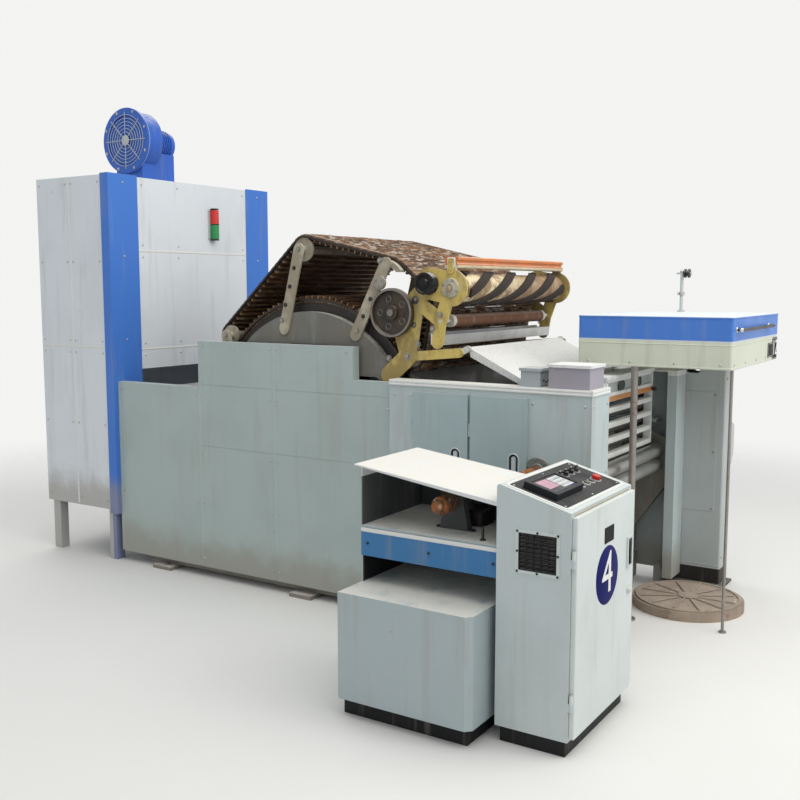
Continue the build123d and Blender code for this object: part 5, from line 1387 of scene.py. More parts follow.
@dataclass
class Column:
    """The coiler's column: screwed access panel, joint line, caps, foot bolts and guard screws.

    Attributes:
        left, right, front, rear: its faces in X and Y.
    """

    left: float = 0.65
    right: float = 0.81
    front: float = -1.785
    rear: float = -1.5

    def build(self) -> None:
        """Make the column's pieces."""
        middle = (self.front + self.rear) / 2
        panel = Skin()
        panel.rounded((self.left, middle, 0.735), BACK, UP, LEFT, (0.104, 0.32), 0.018, 0.003)
        panel.rounded((self.right, middle - 0.01, 0.33), BACK, UP, RIGHT, (0.095, 0.185), 0.018, 0.003)
        panel.piece("column_panels", "column_grey", "column_grey")
        caps = Skin()
        for y in (-1.735, -1.665):
            caps.plug((self.right, y, 1.01), RIGHT, ((-0.001, 0.021), (0.004, 0.021), (0.007, 0.017)), 24)
        caps.piece("column_caps", "rubber", "column_grey")
        screws = Skin()
        screws.screws([(self.left - 0.003, middle + dy, 0.735 + dz) for dy in (-0.09, 0.09)
                       for dz in (-0.305, 0, 0.305)], LEFT, 0.006)
        screws.screws([(self.right + 0.003, middle - 0.01 + dy, 0.33 + dz) for dy in (-0.082, 0.082)
                       for dz in (-0.17, 0.17)], RIGHT, 0.006)
        screws.screws(lattice((0.675, 0.785), self.front, (0.165, 1.125)), FRONT, 0.006)
        screws.nuts(lattice((0.635, 0.825), (-1.77, -1.515), 0.012), UP, 0.008)
        screws.piece("column_screws", "bright_bolt", "column_grey")
        joint = Skin()
        outline = rounded_outline(self.left, self.right, self.front, self.rear, 0.01, 5)
        for profile in (((-0.001, 0.118), (0.0016, 0.1195), (0.0016, 0.1245), (-0.001, 0.126)),
                        ((-0.001, 0.012), (0.01, 0.012), (0.002, 0.022), (-0.001, 0.026))):
            joint.band(loop_profile(outline, profile, 0))
        joint.piece("column_joint", "column_grey", "column_grey", smooth=40.0)
        Skin().screws(lattice(0.875, (-1.735, -1.555), 0.8805), (0.42, 0, 0.91),
                      0.006).piece("guard_screws", "bright_bolt", "guard_grey")


def rounded_outline(x0: float, x1: float, y0: float, y1: float, r: float, count: int) -> np.ndarray:
    """A rectangle in plan (n, 2): straight sides joined by quarter circles of radius r."""
    a = np.linspace(0.0, np.pi / 2, count)
    arcs = [np.stack([cx + r * np.cos(a + turn), cy + r * np.sin(a + turn)], -1)
            for cx, cy, turn in ((x1 - r, y1 - r, 0.0), (x0 + r, y1 - r, np.pi / 2),
                                 (x0 + r, y0 + r, np.pi), (x1 - r, y0 + r, 1.5 * np.pi))]
    return np.concatenate(arcs)


@dataclass
class ControlCabinet:
    """The cabinet's trim: panel frame, display, knobs' scales, buttons, mesh, door fittings.

    Attributes:
        left, right, front, rear: the shell's sides in X and Y.
        front_top, rear_top: heights of its front and rear edges.
        door_face: Y of the door's outer face.
        dial: the main switch's axis (y, z).
        number: middle (x, z) of the door's round number field.
        handle: X of the door's handle and lock.
        upper, lower: places of the two rows of controls, up the panel from its middle.
        first, pitch: place of the first knob across the panel, and the step to the next.
        left_vent, right_vent: middle (y, z) of each vent.
    """

    left: float = -1.59
    right: float = -1.01
    front: float = -1.866
    rear: float = -1.59
    front_top: float = 0.857
    rear_top: float = 0.932
    door_face: float = -1.885
    dial: tuple[float, float] = (-1.74, 0.42)
    number: tuple[float, float] = (-1.297, 0.58)
    handle: float = -1.074
    upper: float = 0.052
    lower: float = -0.038
    first: float = 0.04
    pitch: float = 0.05
    left_vent: tuple[float, float] = (-1.746, 0.705)
    right_vent: tuple[float, float] = (-1.728, 0.25)

    @property
    def tilt(self) -> float:
        """The sloped panel's angle, in radians."""
        return math.atan2(self.rear_top - self.front_top, self.rear - self.front)

    def on_panel(self, across: float, up: float, out: float = 0.0) -> Point:
        """A place on the sloped panel: middle + across * right + up * slope + out * normal."""
        tilt = self.tilt
        middle = ((self.left + self.right) / 2, (self.front + self.rear) / 2,
                  (self.front_top + self.rear_top) / 2)
        return (middle[0] + across, middle[1] + up * math.cos(tilt) - out * math.sin(tilt),
                middle[2] + up * math.sin(tilt) + out * math.cos(tilt))

    def directions(self) -> tuple[Point, Point, Point]:
        """The panel's right, up and outward directions."""
        rise, run = math.sin(self.tilt), math.cos(self.tilt)
        return RIGHT, (0.0, run, rise), (0.0, -rise, run)

    def build(self) -> None:
        """Make the cabinet's pieces."""
        self.panel()
        self.display()
        self.controls()
        self.vents()
        self.door()
        self.switch()

    def panel(self) -> None:
        """A raised rounded rim round the dark panel, its screws, and the front edge's light strip."""
        right, up, out = (np.array(v) for v in self.directions())
        a = full_turn(32) + np.pi / 32
        half = np.array([0.2605, 0.1135])
        rings = []
        for grow, high in ((-0.001, -0.004), (-0.001, 0.0018), (0.0055, 0.0034), (0.012, 0.0018),
                           (0.012, -0.001)):
            r = 0.012 + grow
            x = np.sign(np.cos(a)) * (half[0] - 0.012) + r * np.cos(a)
            y = np.sign(np.sin(a)) * (half[1] - 0.012) + r * np.sin(a)
            base = np.array(self.on_panel(0.0, 0.0, high))
            rings.append(base + x[:, None] * right + y[:, None] * up)
        Skin().band(np.array(rings)).piece("panel_rim", "seal_white", "cabinet_paint", smooth=45.0)
        Skin().screws([self.on_panel(x, y, -0.0002) for x in (-0.243, 0, 0.243) for y in (-0.1, 0.1)],
                      tuple(out), 0.0042).piece("panel_screws", "zinc", "panel_dark")
        Skin().slab((self.left + 0.028, self.front - 0.0008, self.front_top - 0.0145),
                    (self.right - 0.028, self.front + 0.004, self.front_top - 0.011)).piece(
                "door_edge_strip", "brass", "cabinet_paint", smooth=None, bevel=0.0006)

    def display(self) -> None:
        """The display's face: a pink field and a white field set in a black bezel."""
        right, up, out = self.directions()
        Skin().rounded(self.on_panel(-0.12, 0.004, 0.0228), right, up, out, (0.0965, 0.0465), 0.006,
                       0.0006).piece("display_bezel", "glass", "panel_dark")
        Skin().rounded(self.on_panel(-0.163, 0.012, 0.0234), right, up, out, (0.04, 0.03), 0.003,
                       0.0006).piece("display_field", "screen", "panel_dark")
        Skin().rounded(self.on_panel(-0.074, 0.004, 0.0234), right, up, out, (0.042, 0.037), 0.003,
                       0.0006).piece("display_keys", "screen_white", "panel_dark")
        keys = Skin()
        for i in range(4):
            for j in range(3):
                keys.rounded(self.on_panel(-0.104 + 0.02 * i, -0.019 + 0.022 * j, 0.024), right, up, out,
                             (0.0068, 0.0068), 0.002, 0.001, 3)
        keys.piece("display_buttons", "motor_grey", "panel_dark")

    def controls(self) -> None:
        """The fixed fourth knob, the lower row of buttons, their collars and scale ticks."""
        right, up, out = self.directions()
        collars, ticks, caps = Skin(), Skin(), Skin()
        profile = ((-0.0002, 0.0145), (-0.0002, 0.0215), (0.001, 0.0212), (0.0014, 0.019), (0.0014, 0.0145))
        for i in range(4):
            across = self.first + self.pitch * i
            collars.turned(self.on_panel(across, self.upper), out, profile, 24)
            for k in range(9):
                angle = math.radians(-30 + 30 * k)
                tick = self.on_panel(across + 0.0185 * math.cos(angle),
                                     self.upper + 0.0185 * math.sin(angle), 0.0012)
                ticks.rounded(tick, right, up, out, (0.0009, 0.0009), 0.0004, 0.0006, 2)
        fourth = self.first + self.pitch * 3
        caps.plug(self.on_panel(fourth, self.upper, 0.0003), out,
                  ((0, 0.013), (0.012, 0.0125), (0.014, 0.0112)), 32)
        caps.rounded(self.on_panel(fourth, self.upper, 0.0138), right, up, out, (0.011, 0.0036), 0.0015,
                     0.009, 3)
        for across in (0.04, 0.09, 0.135):
            place = self.on_panel(across, self.lower)
            collars.turned(place, out, ((-0.0002, 0.0115), (-0.0002, 0.0175), (0.003, 0.017),
                                        (0.004, 0.015), (0.004, 0.0115)), 24)
            caps.turned(place, out, ((-0.0002, 0), (-0.0002, 0.0118), (0.008, 0.0116),
                                     (0.0095, 0.0098), (0.0088, 0)), 24)
        collars.turned(self.on_panel(0.18, self.lower), out,
                       ((-0.0002, 0.017), (-0.0002, 0.0235), (0.0028, 0.023), (0.0038, 0.0205),
                        (0.0038, 0.017)), 28)
        collars.piece("control_collars", "zinc", "panel_dark")
        ticks.piece("scale_ticks", "number_white", "panel_dark", smooth=None)
        caps.piece("fixed_controls", "knob_black", "switch_black")
        for i in range(3):
            place = self.on_panel(self.first + self.pitch * i, self.upper + 0.0025, 0.02265)
            mark = Skin().rounded(place, right, up, out, (0.0075, 0.0007), 0.0004, 0.0006, 2)
            mark.piece(f"knob_{i + 1}_mark", "number_white", "switch_black", f"knob_{i + 1}", smooth=None)

    def vents(self) -> None:
        """Fine mesh behind both vent frames, and the screws round them.

        The mesh is two families of thin strips at a steady pitch.
        """
        pitch = 0.0078
        mesh = Skin()
        for x, (y, z), wide, high in ((self.left + 0.0012, self.left_vent, 0.136, 0.126),
                                      (self.right - 0.0012, self.right_vent, 0.09, 0.11)):
            for level in np.arange(z - high / 2 + 0.004, z + high / 2, pitch):
                mesh.slab((x - 0.0006, y - wide / 2 - 0.004, level - 0.0007),
                          (x + 0.0006, y + wide / 2 + 0.004, level + 0.0007))
            for across in np.arange(y - wide / 2 + 0.004, y + wide / 2, pitch):
                mesh.slab((x - 0.0005, across - 0.0006, z - high / 2 - 0.004),
                          (x + 0.0005, across + 0.0006, z + high / 2 + 0.004))
        mesh.piece("vent_mesh", "vent_wire", "grille_black", smooth=None)
        screws = Skin()
        for x, out, (y, z), wide, high in ((self.left - 0.003, LEFT, self.left_vent, 0.0755, 0.0705),
                                           (self.right + 0.003, RIGHT, self.right_vent, 0.052, 0.062)):
            places = [(x, y + a * wide, z + b * high) for a in (-1, 0, 1) for b in (-1, 0, 1) if a or b]
            screws.screws(places, out, 0.0045)
        screws.piece("vent_screws", "oiled_steel", "grille_black")

    def door(self) -> None:
        """The door's small plate, round number field, handle frame, lock, and a near-black frame behind it
        as painted shade in its gap.
        """
        x, z = self.number
        y = self.door_face
        Skin().plug((x, y, z), FRONT, ((-0.0004, 0.107), (0.001, 0.107), (0.0014, 0.1062)), 72).piece(
            "door_number_field", "field_blue", "cabinet_paint", "cabinet_door")
        Lettering("4", (x, y - 0.0018, z), 0.155, RIGHT, UP).add(
            "door_number", "number_white", "cabinet_paint", "cabinet_door")
        Skin().rounded((-1.285, y, 0.727), RIGHT, UP, FRONT, (0.045, 0.029), 0.003, 0.0018).piece(
            "door_plate", "number_black", "cabinet_paint", "cabinet_door")
        frame = rim_band(self.handle, y - 0.0058, 0.616, 0.0262, 0.0592, 0.0085, 0.0012)
        Skin().band(frame).piece("handle_frame", "bezel_grey", "cabinet_paint", "cabinet_door", smooth=None,
                                 bevel=0.0004)
        lock = Skin()
        lock.plug((self.handle, y - 0.006, 0.465), FRONT,
                  ((0, 0.0125), (0.0015, 0.0125), (0.003, 0.0105)), 24)
        lock.slab((self.handle - 0.0012, y - 0.0096, 0.4595), (self.handle + 0.0012, y - 0.0088, 0.4705))
        lock.piece("door_lock", "chrome", "cabinet_paint", "cabinet_door")
        # Painted shade: a near-black frame behind the door, seen only through the gap round it.
        gap_shade = rim_band(-1.3, -1.8655, 0.4565, 0.2795, 0.3765, 0.01, 0.0008)
        Skin().band(gap_shade).piece("cabinet_door_gap_shade", "rubber", "cabinet_paint", smooth=None)
        hinge = Skin()
        for z in (0.2305, 0.7305):
            hinge.plug((-1.5865, -1.876, z), UP, ((0, 0.0064), (0.0016, 0.0064), (0.003, 0.004)), 14)
        hinge.piece("door_hinge_caps", "zinc", "cabinet_paint", "cabinet_door")

    def switch(self) -> None:
        """A round escutcheon with four screws round the main switch's dial, and its pointer."""
        y, z = self.dial
        Skin().turned((self.right, y, z), RIGHT,
                      ((-0.0004, 0.0355), (-0.0004, 0.047), (0.003, 0.0465), (0.0045, 0.044),
                       (0.0045, 0.0355)), 48).piece("switch_ring", "bezel_grey", "switch_black")
        corners = circle((self.right + 0.0046, y, z), 0.0402, np.radians((45, 135, 225, 315)))
        Skin().screws(corners, RIGHT, 0.0032).piece("switch_screws", "zinc", "switch_black")
        mark = Skin().rounded((self.right + 0.03, y, z + 0.016), BACK, UP, RIGHT, (0.002, 0.009), 0.0009,
                              0.0006, 3)
        mark.piece("switch_mark", "number_white", "switch_black", "main_switch", smooth=None)


@dataclass
class SideCasings:
    """Latch frames, near-black frames of painted shade in the door gaps, seams and screws of the side doors
    and covers.

    Attributes:
        face, cover, casing: X of the outer faces of doors, covers and casings.
        latch_height: height of the doors' latches.
        cap_lines: heights of the white double line under the casings' cap.
        screw: radius of the screw heads.
    """

    face: float = 0.707
    cover: float = 0.664
    casing: float = 0.69
    latch_height: float = 0.815
    cap_lines: tuple[float, float] = (1.1495, 1.1635)
    screw: float = 0.0062

    def build(self) -> None:
        """Dress each door, then the fixed shells."""
        for body, side, front in (("side_door_left_front", -1, -1.284),
                                  ("side_door_left_rear", -1, -0.99), ("side_door_right", 1, -1.284)):
            self.latch(body, side, front + 0.062)
        self.seals()
        self.seams()
        self.screws()
        self.bearing_cover()

    def latch(self, body: str, side: int, y: float) -> None:
        """A light oval frame round the latch recess, a near-black cup in the recess as painted shade, and a
        pull in it.

        The frame is a half round carried along a stadium: two half circles joined by straights.
        """
        a = full_turn(48)
        lift = np.where(np.sin(a) > 0, 0.033, -0.033)
        rings = []
        for r, out in ((0.0225, -0.002), (0.0225, 0.0016), (0.0255, 0.003), (0.0285, 0.0016),
                       (0.0285, -0.001)):
            rings.append(np.stack([np.full(48, side * (self.face + out)), y + r * np.cos(a),
                                   self.latch_height + lift + r * np.sin(a)], -1))
        Skin().band(np.array(rings)).piece(body + "_latch_frame", "bezel_grey", "door_grey", body,
                                           smooth=50.0)
        # The near-black cup is painted shade inside the latch recess.
        cup = []
        for r, rise, out in ((0.0, 0.0, -0.0092), (0.0215, 1.0, -0.0092), (0.0220, 1.0, -0.004)):
            cup.append(np.stack([np.full(48, side * (self.face + out)), y + r * np.cos(a),
                                 self.latch_height + rise * lift + r * np.sin(a)], -1))
        Skin().grid(np.array(cup), around=True).piece(body + "_latch_cup", "gap_painted_shade", "door_grey", body,
                                                      smooth=40.0)
        Skin().rounded((side * (self.face - 0.0045), y, self.latch_height + 0.007), BACK, UP, (side, 0, 0),
                       (0.0095, 0.038), 0.009, 0.0046).piece(
            body + "_latch_pull", "bezel_grey", "door_grey", body)

    def seals(self) -> None:
        """A near-black frame behind each door's edge, seen through the gap: painted shade in the gap."""
        skin = Skin()
        for side, y0, y1 in ((-1, -1.284, -1.004), (-1, -0.990, -0.700), (1, -1.284, -0.700)):
            x = side * (self.casing + 0.0003)
            signs = np.array([(-1, -1), (1, -1), (1, 1), (-1, 1)], float)
            rings = []
            for inset, depth in ((0.004, 0.0), (0.004, 0.0006), (0.016, 0.0006), (0.016, 0.0)):
                rings.append(np.stack([np.full(4, x + side * depth),
                                       (y0 + y1) / 2 + signs[:, 0] * ((y1 - y0) / 2 - inset),
                                       0.635 + signs[:, 1] * (0.485 - inset)], -1))
            skin.band(np.array(rings))
        # Painted shade: these frames lie behind the doors and darken only the gaps round them.
        skin.piece("side_door_gap_shade", "rubber", "door_grey", smooth=None)

    def seams(self) -> None:
        """Raised joint strips on the covers, and the white double line under the casings' cap.

        Each strip is a low half round carried along a straight line.
        """
        strips = Skin()
        for side in (-1, 1):
            x = side * self.cover
            for y0, z0, y1, z1 in ((-0.5545, 0.065, -0.5545, 1.145), (0.172, 0.065, 0.172, 1.308),
                                   (0.7, 0.065, 0.7, 1.055), (1.33, 0.065, 1.33, 1.055)):
                strips.grid(bead((x, y0, z0), (x, y1, z1), (side, 0, 0), 0.01, 0.0022))
        strips.piece("cover_joints", "panel_grey", "panel_grey", smooth=40.0)
        lines = Skin()
        for side, front in ((-1, -1.571), (1, -1.495)):
            x = side * (self.casing + 0.005)
            for z in self.cap_lines:
                lines.grid(bead((x, front, z), (x, -0.565, z), (side, 0, 0), 0.0045, 0.0022))
        for z in self.cap_lines:
            lines.grid(bead((-0.69, -1.581, z), (-0.495, -1.581, z), FRONT, 0.0045, 0.0022))
        lines.piece("casing_cap_lines", "seal_white", "panel_grey", smooth=40.0)

    def screws(self) -> None:
        """Screws along the covers' edges, the casings' fixed faces and their front returns."""
        skin = Skin()
        for side in (-1, 1):
            x = side * self.cover
            edge = [(x, y, z) for y in (-0.535, 0.15, 0.196, 0.68) for z in (0.11, 0.42, 0.7, 1.02)]
            edge += [(x, y, 1.285) for y in (-0.29, -0.06, 0.15, 0.196, 0.45, 0.66)]
            edge += [(x, y, z) for y in (0.724, 1.305) for z in (0.11, 0.42, 0.72, 1.02)]
            skin.screws(edge, (side, 0, 0), self.screw)
        left = [(-self.casing, y, z) for y in (-1.545, -1.305) for z in (0.12, 0.45, 1.1)]
        left += [(-self.casing, y, z) for y in (-0.59, -0.675) for z in (0.12, 0.6, 1.1)]
        skin.screws(left, LEFT, self.screw)
        skin.screws(lattice(self.casing, (-1.47, -1.33), (0.12, 0.45, 0.8, 1.1)), RIGHT, self.screw)
        skin.screws(lattice((-0.665, -0.515), -1.576, (0.12, 0.45, 0.8, 1.1)), FRONT, self.screw)
        skin.piece("casing_screws", "zinc", "panel_grey")

    def bearing_cover(self) -> None:
        """A turned flange with six screws where the cross shaft enters the left casing."""
        skin = Skin()
        x, y, z = -(self.casing + 0.012), -1.335, 0.81
        skin.turned((x, y, z), LEFT,
                    ((-0.01, 0), (-0.01, 0.058), (-0.002, 0.058), (0.001, 0.054), (0.001, 0.03),
                     (0.006, 0.028), (0.006, 0.0225), (0, 0.0225)), 40)
        skin.screws(circle((x - 0.001, y, z), 0.046, full_turn(6) + 0.3), LEFT, 0.0045)
        skin.piece("shaft_flange", "frame_castings", "panel_grey")


def bead(start: Point, end: Point, out: Point, width: float, height: float) -> np.ndarray:
    """A low half round along a straight line: offset = width * cos t, height * sin t.

    Args:
        start: one end.
        end: the other end.
        out: direction it stands out.
        width: half of its width.
        height: how far it stands out.

    Returns:
        Points (4, 9, 3); the first and last rows close its ends.
    """
    a, b, w = np.array(start, float), np.array(end, float), np.array(out, float)
    along = (b - a) / np.linalg.norm(b - a)
    side = np.cross(w, along)
    t = np.linspace(0.0, np.pi, 9)
    ring = (width * np.cos(t))[:, None] * side + (height * np.sin(t))[:, None] * w
    return np.array([np.repeat(a[None], 9, 0), a + ring, b + ring, np.repeat(b[None], 9, 0)])


@dataclass
class DriveBay:
    """The bay's folds, screws, upright pin, and the couplings and small gearbox on its shaft.

    Attributes:
        left, front, rear: its open side in X, and its front and rear in Y.
        plate: height of the plate's top.
        shaft: the cross shaft's (y, z).
        gearbox: X of the small gearbox's middle.
    """

    left: float = -1.56
    front: float = -1.59
    rear: float = -1.0
    plate: float = 0.702
    shaft: tuple[float, float] = (-1.335, 0.81)
    gearbox: float = -1.3

    def build(self) -> None:
        """Make the bay's pieces."""
        y, z = self.shaft
        folds = Skin()
        for x0, y0, z0, x1, y1, z1 in ((-1.578, -1.59, 0.8605, -1.578, -0.982, 0.9362),
                                       (-1.125, -1.59, 0.8605, -1.125, -0.982, 0.9362)):
            folds.grid(bead((x0, y0, z0), (x1, y1, z1), UP, 0.003, 0.003))
        folds.grid(bead((self.left - 0.004, self.front + 0.002, 0.6855),
                        (self.left - 0.004, self.rear - 0.002, 0.6855), LEFT, 0.008, 0.003))
        folds.piece("bay_folds", "seal_white", "bay_grey", smooth=45.0)
        screws = Skin()
        screws.screws(lattice(self.left - 0.004, (-1.565, -1.3, -1.03), 0.635), LEFT, 0.006)
        screws.screws(lattice((-1.53, -1.15), self.rear, (0.15, 0.52, 0.85)), BACK, 0.006)
        screws.nuts([(x, y + d, self.plate) for x in (-1.423, -1.213) for d in (-0.072, 0.072)], UP,
                    0.009)
        screws.turned((-1.52, -1.5, self.plate), UP,
                      ((-0.001, 0.012), (0.003, 0.012), (0.004, 0.0055), (0.05, 0.0055), (0.054, 0)), 12)
        screws.piece("bay_screws", "oiled_steel", "bay_grey")
        yoke = Skin()
        for x, turn in ((-1.545, 1), (-1.475, -1), (-1.190, 1)):
            yoke.turned((x, y, z), (turn, 0, 0),
                        ((-0.004, 0), (-0.004, 0.033), (0.006, 0.036), (0.016, 0.034), (0.02, 0.026),
                         (0.034, 0.0225), (0.036, 0)), 28)
            yoke.nuts(circle((x - 0.004 * turn, y, z), 0.026, (0.8, 2.4, 3.9, 5.5)), (-turn, 0, 0),
                      0.0042)
        yoke.piece("shaft_couplings", "shaft_rust", "shaft_rust", "drive_shaft")
        box = Skin()
        x = self.gearbox
        box.rounded((x, y, self.plate), RIGHT, BACK, UP, (0.055, 0.075), 0.016, 0.062)
        box.plug((x, y + 0.052, self.plate + 0.06), UP,
                 ((-0.002, 0.012), (0.01, 0.012), (0.014, 0.008)), 6)
        box.screws([(x + a, y + b, self.plate + 0.062) for a in (-0.044, 0.044)
                    for b in (-0.062, 0, 0.062)], UP, 0.006)
        box.piece("bay_gearbox", "bend_iron", "bay_grey")


@dataclass
class DeliveryFront:
    """Window panes, rails' caps and screws, and the instrument box's trim.

    Attributes:
        left, right: X of the end plates' outer faces.
        face: Y of the box's front.
        window: height of the windows' middle.
    """

    left: float = -0.232
    right: float = 0.466
    face: float = -1.46
    window: float = 1.1315

    def build(self) -> None:
        """Make the panes with their rims, the screws, and beads along the rails."""
        a = full_turn(40)
        lift = np.where(np.cos(a) > 0, 0.024, -0.024)
        panes, rims = Skin(), Skin()
        for x in (-0.0043, 0.2383):
            rows = [np.stack([x + k * (lift + r * np.cos(a)), np.full(40, y),
                              self.window + k * r * np.sin(a)], -1)
                    for k, r, y in ((0.0, 0.02, -1.4534), (1.0, 0.02, -1.4534), (1.0, 0.0205, -1.45))]
            panes.grid(np.array(rows), around=True)
            ring = [np.stack([x + lift + r * np.cos(a), np.full(40, y), self.window + r * np.sin(a)], -1)
                    for r, y in ((0.0195, -1.4515), (0.0195, -1.4548), (0.0215, -1.456), (0.024, -1.4545),
                                 (0.024, -1.4515))]
            rims.band(np.array(ring))
        panes.piece("window_panes", "glass", "panel_white", smooth=30.0)
        rims.piece("window_rims", "rubber", "panel_white", smooth=40.0)
        screws = Skin()
        screws.screws(lattice((-0.183, 0.117, 0.417), -1.452, (1.1125, 1.1505)), FRONT, 0.0042)
        screws.screws(lattice((-0.208, 0.442), self.face, (1.103, 1.16)), FRONT, 0.0048)
        for x, out in ((self.left, -1), (self.right, 1)):
            screws.nuts(lattice(x, -1.434, (0.8, 0.873, 0.947, 1.02)), (out, 0, 0), 0.008)
            screws.screws(lattice(x, -1.405, (0.837, 0.91, 0.984, 1.048)), (out, 0, 0), 0.005)
        screws.piece("delivery_screws", "zinc", "rail_white")
        beads = Skin()
        for z in (1.020, 0.947, 0.873, 0.800):
            beads.grid(bead((self.left + 0.016, -1.453, z), (self.right - 0.016, -1.453, z), FRONT,
                            0.0035, 0.0016))
        beads.piece("rail_beads", "seal_white", "rail_white", smooth=50.0)
        Skin().plug((0.44, -1.4585, 1.0775), FRONT,
                    ((-0.002, 0.006), (0.008, 0.006), (0.01, 0.011), (0.02, 0.012), (0.023, 0.009)),
                    20).piece("strip_knob", "knob_black", "rail_white")


@dataclass
class StrippingGear:
    """Bearings, bolts, knob and bracket round the spiral drum, the arch and the straps.

    Attributes:
        drum: the drum's axis (y, z).
        clearer: the clearer roll's axis (y, z).
        plate: |X| of the end plates' outer face.
        wheel: the side wheel's axis (y, z).
        hub: axis (y, z) of the flats' front wheels.
        straps: foot and head (y, z) of each strap that carries the flats' guides.
    """

    drum: tuple[float, float] = DRUM_AXIS
    clearer: tuple[float, float] = (-0.72437, 1.61937)
    plate: float = 0.6
    wheel: tuple[float, float] = (-0.54, 1.482)
    hub: tuple[float, float] = (-0.45, 1.624)
    straps: tuple[tuple[tuple[float, float], tuple[float, float]], ...] = (
            ((-0.311, 1.3886), (-0.478, 1.716)), ((0.162, 1.4327), (0.05, 1.794)))

    def build(self) -> None:
        """Make the bearings, the bolts and the bar's fittings."""
        bearings, bolts, dark = Skin(), Skin(), Skin()
        for side in (-1, 1):
            spots = [(self.drum, 0.0165, 0.046)]
            if side > 0:
                spots.append((self.clearer, 0.0165, 0.032))
            for (y, z), bore, r in spots:
                bearings.turned((side * self.plate, y, z), (side, 0, 0),
                                ((-0.0006, bore), (-0.0006, r), (0.007, r - 0.001), (0.01, r - 0.004),
                                 (0.01, bore + 0.008), (0.013, bore + 0.006), (0.013, bore)), 32)
                bolts.nuts(circle((side * (self.plate + 0.009), y, z), r - 0.009,
                                  (0.4, 1.97, 3.54, 5.11)), (side, 0, 0), 0.0045)
            bolts.nuts([(side * self.plate, y, z)
                        for y, z in ((-0.648, 1.543), (-0.6051, 1.273), (-0.744, 1.408), (-0.785, 1.475),
                                     (-0.664, 1.335), (-0.5, 1.262), (-0.64, 1.425))], (side, 0, 0),
                       0.0095)
            bolts.nuts([(side * self.plate, y, z)
                        for y, z in ((0.05, 1.794), (0.5527, 1.3438), (-0.4475, 1.73), (-0.311, 1.3886),
                                     (0.162, 1.4327), (0.5256, 1.1337))], (side, 0, 0), 0.01)
            dark.nuts([(side * self.plate, foot[0] + t * (head[0] - foot[0]),
                        foot[1] + t * (head[1] - foot[1])) for foot, head in self.straps
                       for t in (0.22, 0.48, 0.74)], (side, 0, 0), 0.0075)
            bolts.plug((side * 0.614, *self.hub), (side, 0, 0),
                       ((-0.001, 0.03), (0.003, 0.0295), (0.0045, 0.026)), 24)
            bolts.nuts(circle((side * 0.618, *self.hub), 0.019, (0.5, 2.6, 4.7)), (side, 0, 0), 0.0045)
        bearings.piece("gear_bearings", "guide_paint", "drum_yellow")
        bolts.piece("gear_bolts", "bright_bolt", "drum_yellow")
        dark.piece("strap_bolts", "oiled_steel", "guide_paint")
        ends = Skin()
        for side in (-1, 1):
            ends.rounded((side * self.plate, -0.8436, 1.716), BACK, UP, (side, 0, 0), (0.021, 0.024),
                         0.007, 0.003)
        ends.plug((0.603, -0.8436, 1.722), RIGHT,
                  ((-0.001, 0.006), (0.012, 0.006), (0.015, 0.012), (0.025, 0.013), (0.029, 0.009)), 20)
        ends.piece("bar_ends", "seal_white", "clearer_orange")
        bracket = Skin()
        bracket.rounded((-0.603, -0.842, 1.7), BACK, UP, LEFT, (0.014, 0.036), 0.008, 0.006)
        bracket.screws(lattice(-0.609, -0.842, (1.681, 1.719)), LEFT, 0.005)
        bracket.piece("bar_bracket", "drum_yellow", "drum_yellow")
        rim = Skin()
        rim.turned((-0.65, *self.wheel), LEFT,
                   ((-0.001, 0.1045), (-0.001, 0.1165), (0.0012, 0.1155), (0.0012, 0.1055),
                    (-0.001, 0.1045)), 64)
        rim.plug((-0.656, *self.wheel), LEFT, ((-0.002, 0.0175), (0.001, 0.0165)), 20)
        for place in circle((-0.634, *self.wheel), 0.069, full_turn(5)):
            rim.turned(place, LEFT,
                       ((-0.001, 0.013), (0.001, 0.013), (0.002, 0.0145), (0.001, 0.016),
                        (-0.001, 0.016)), 18)
        rim.piece("side_wheel_rim", "wheel_steel", "wheel_black", "flats_drive_wheel")


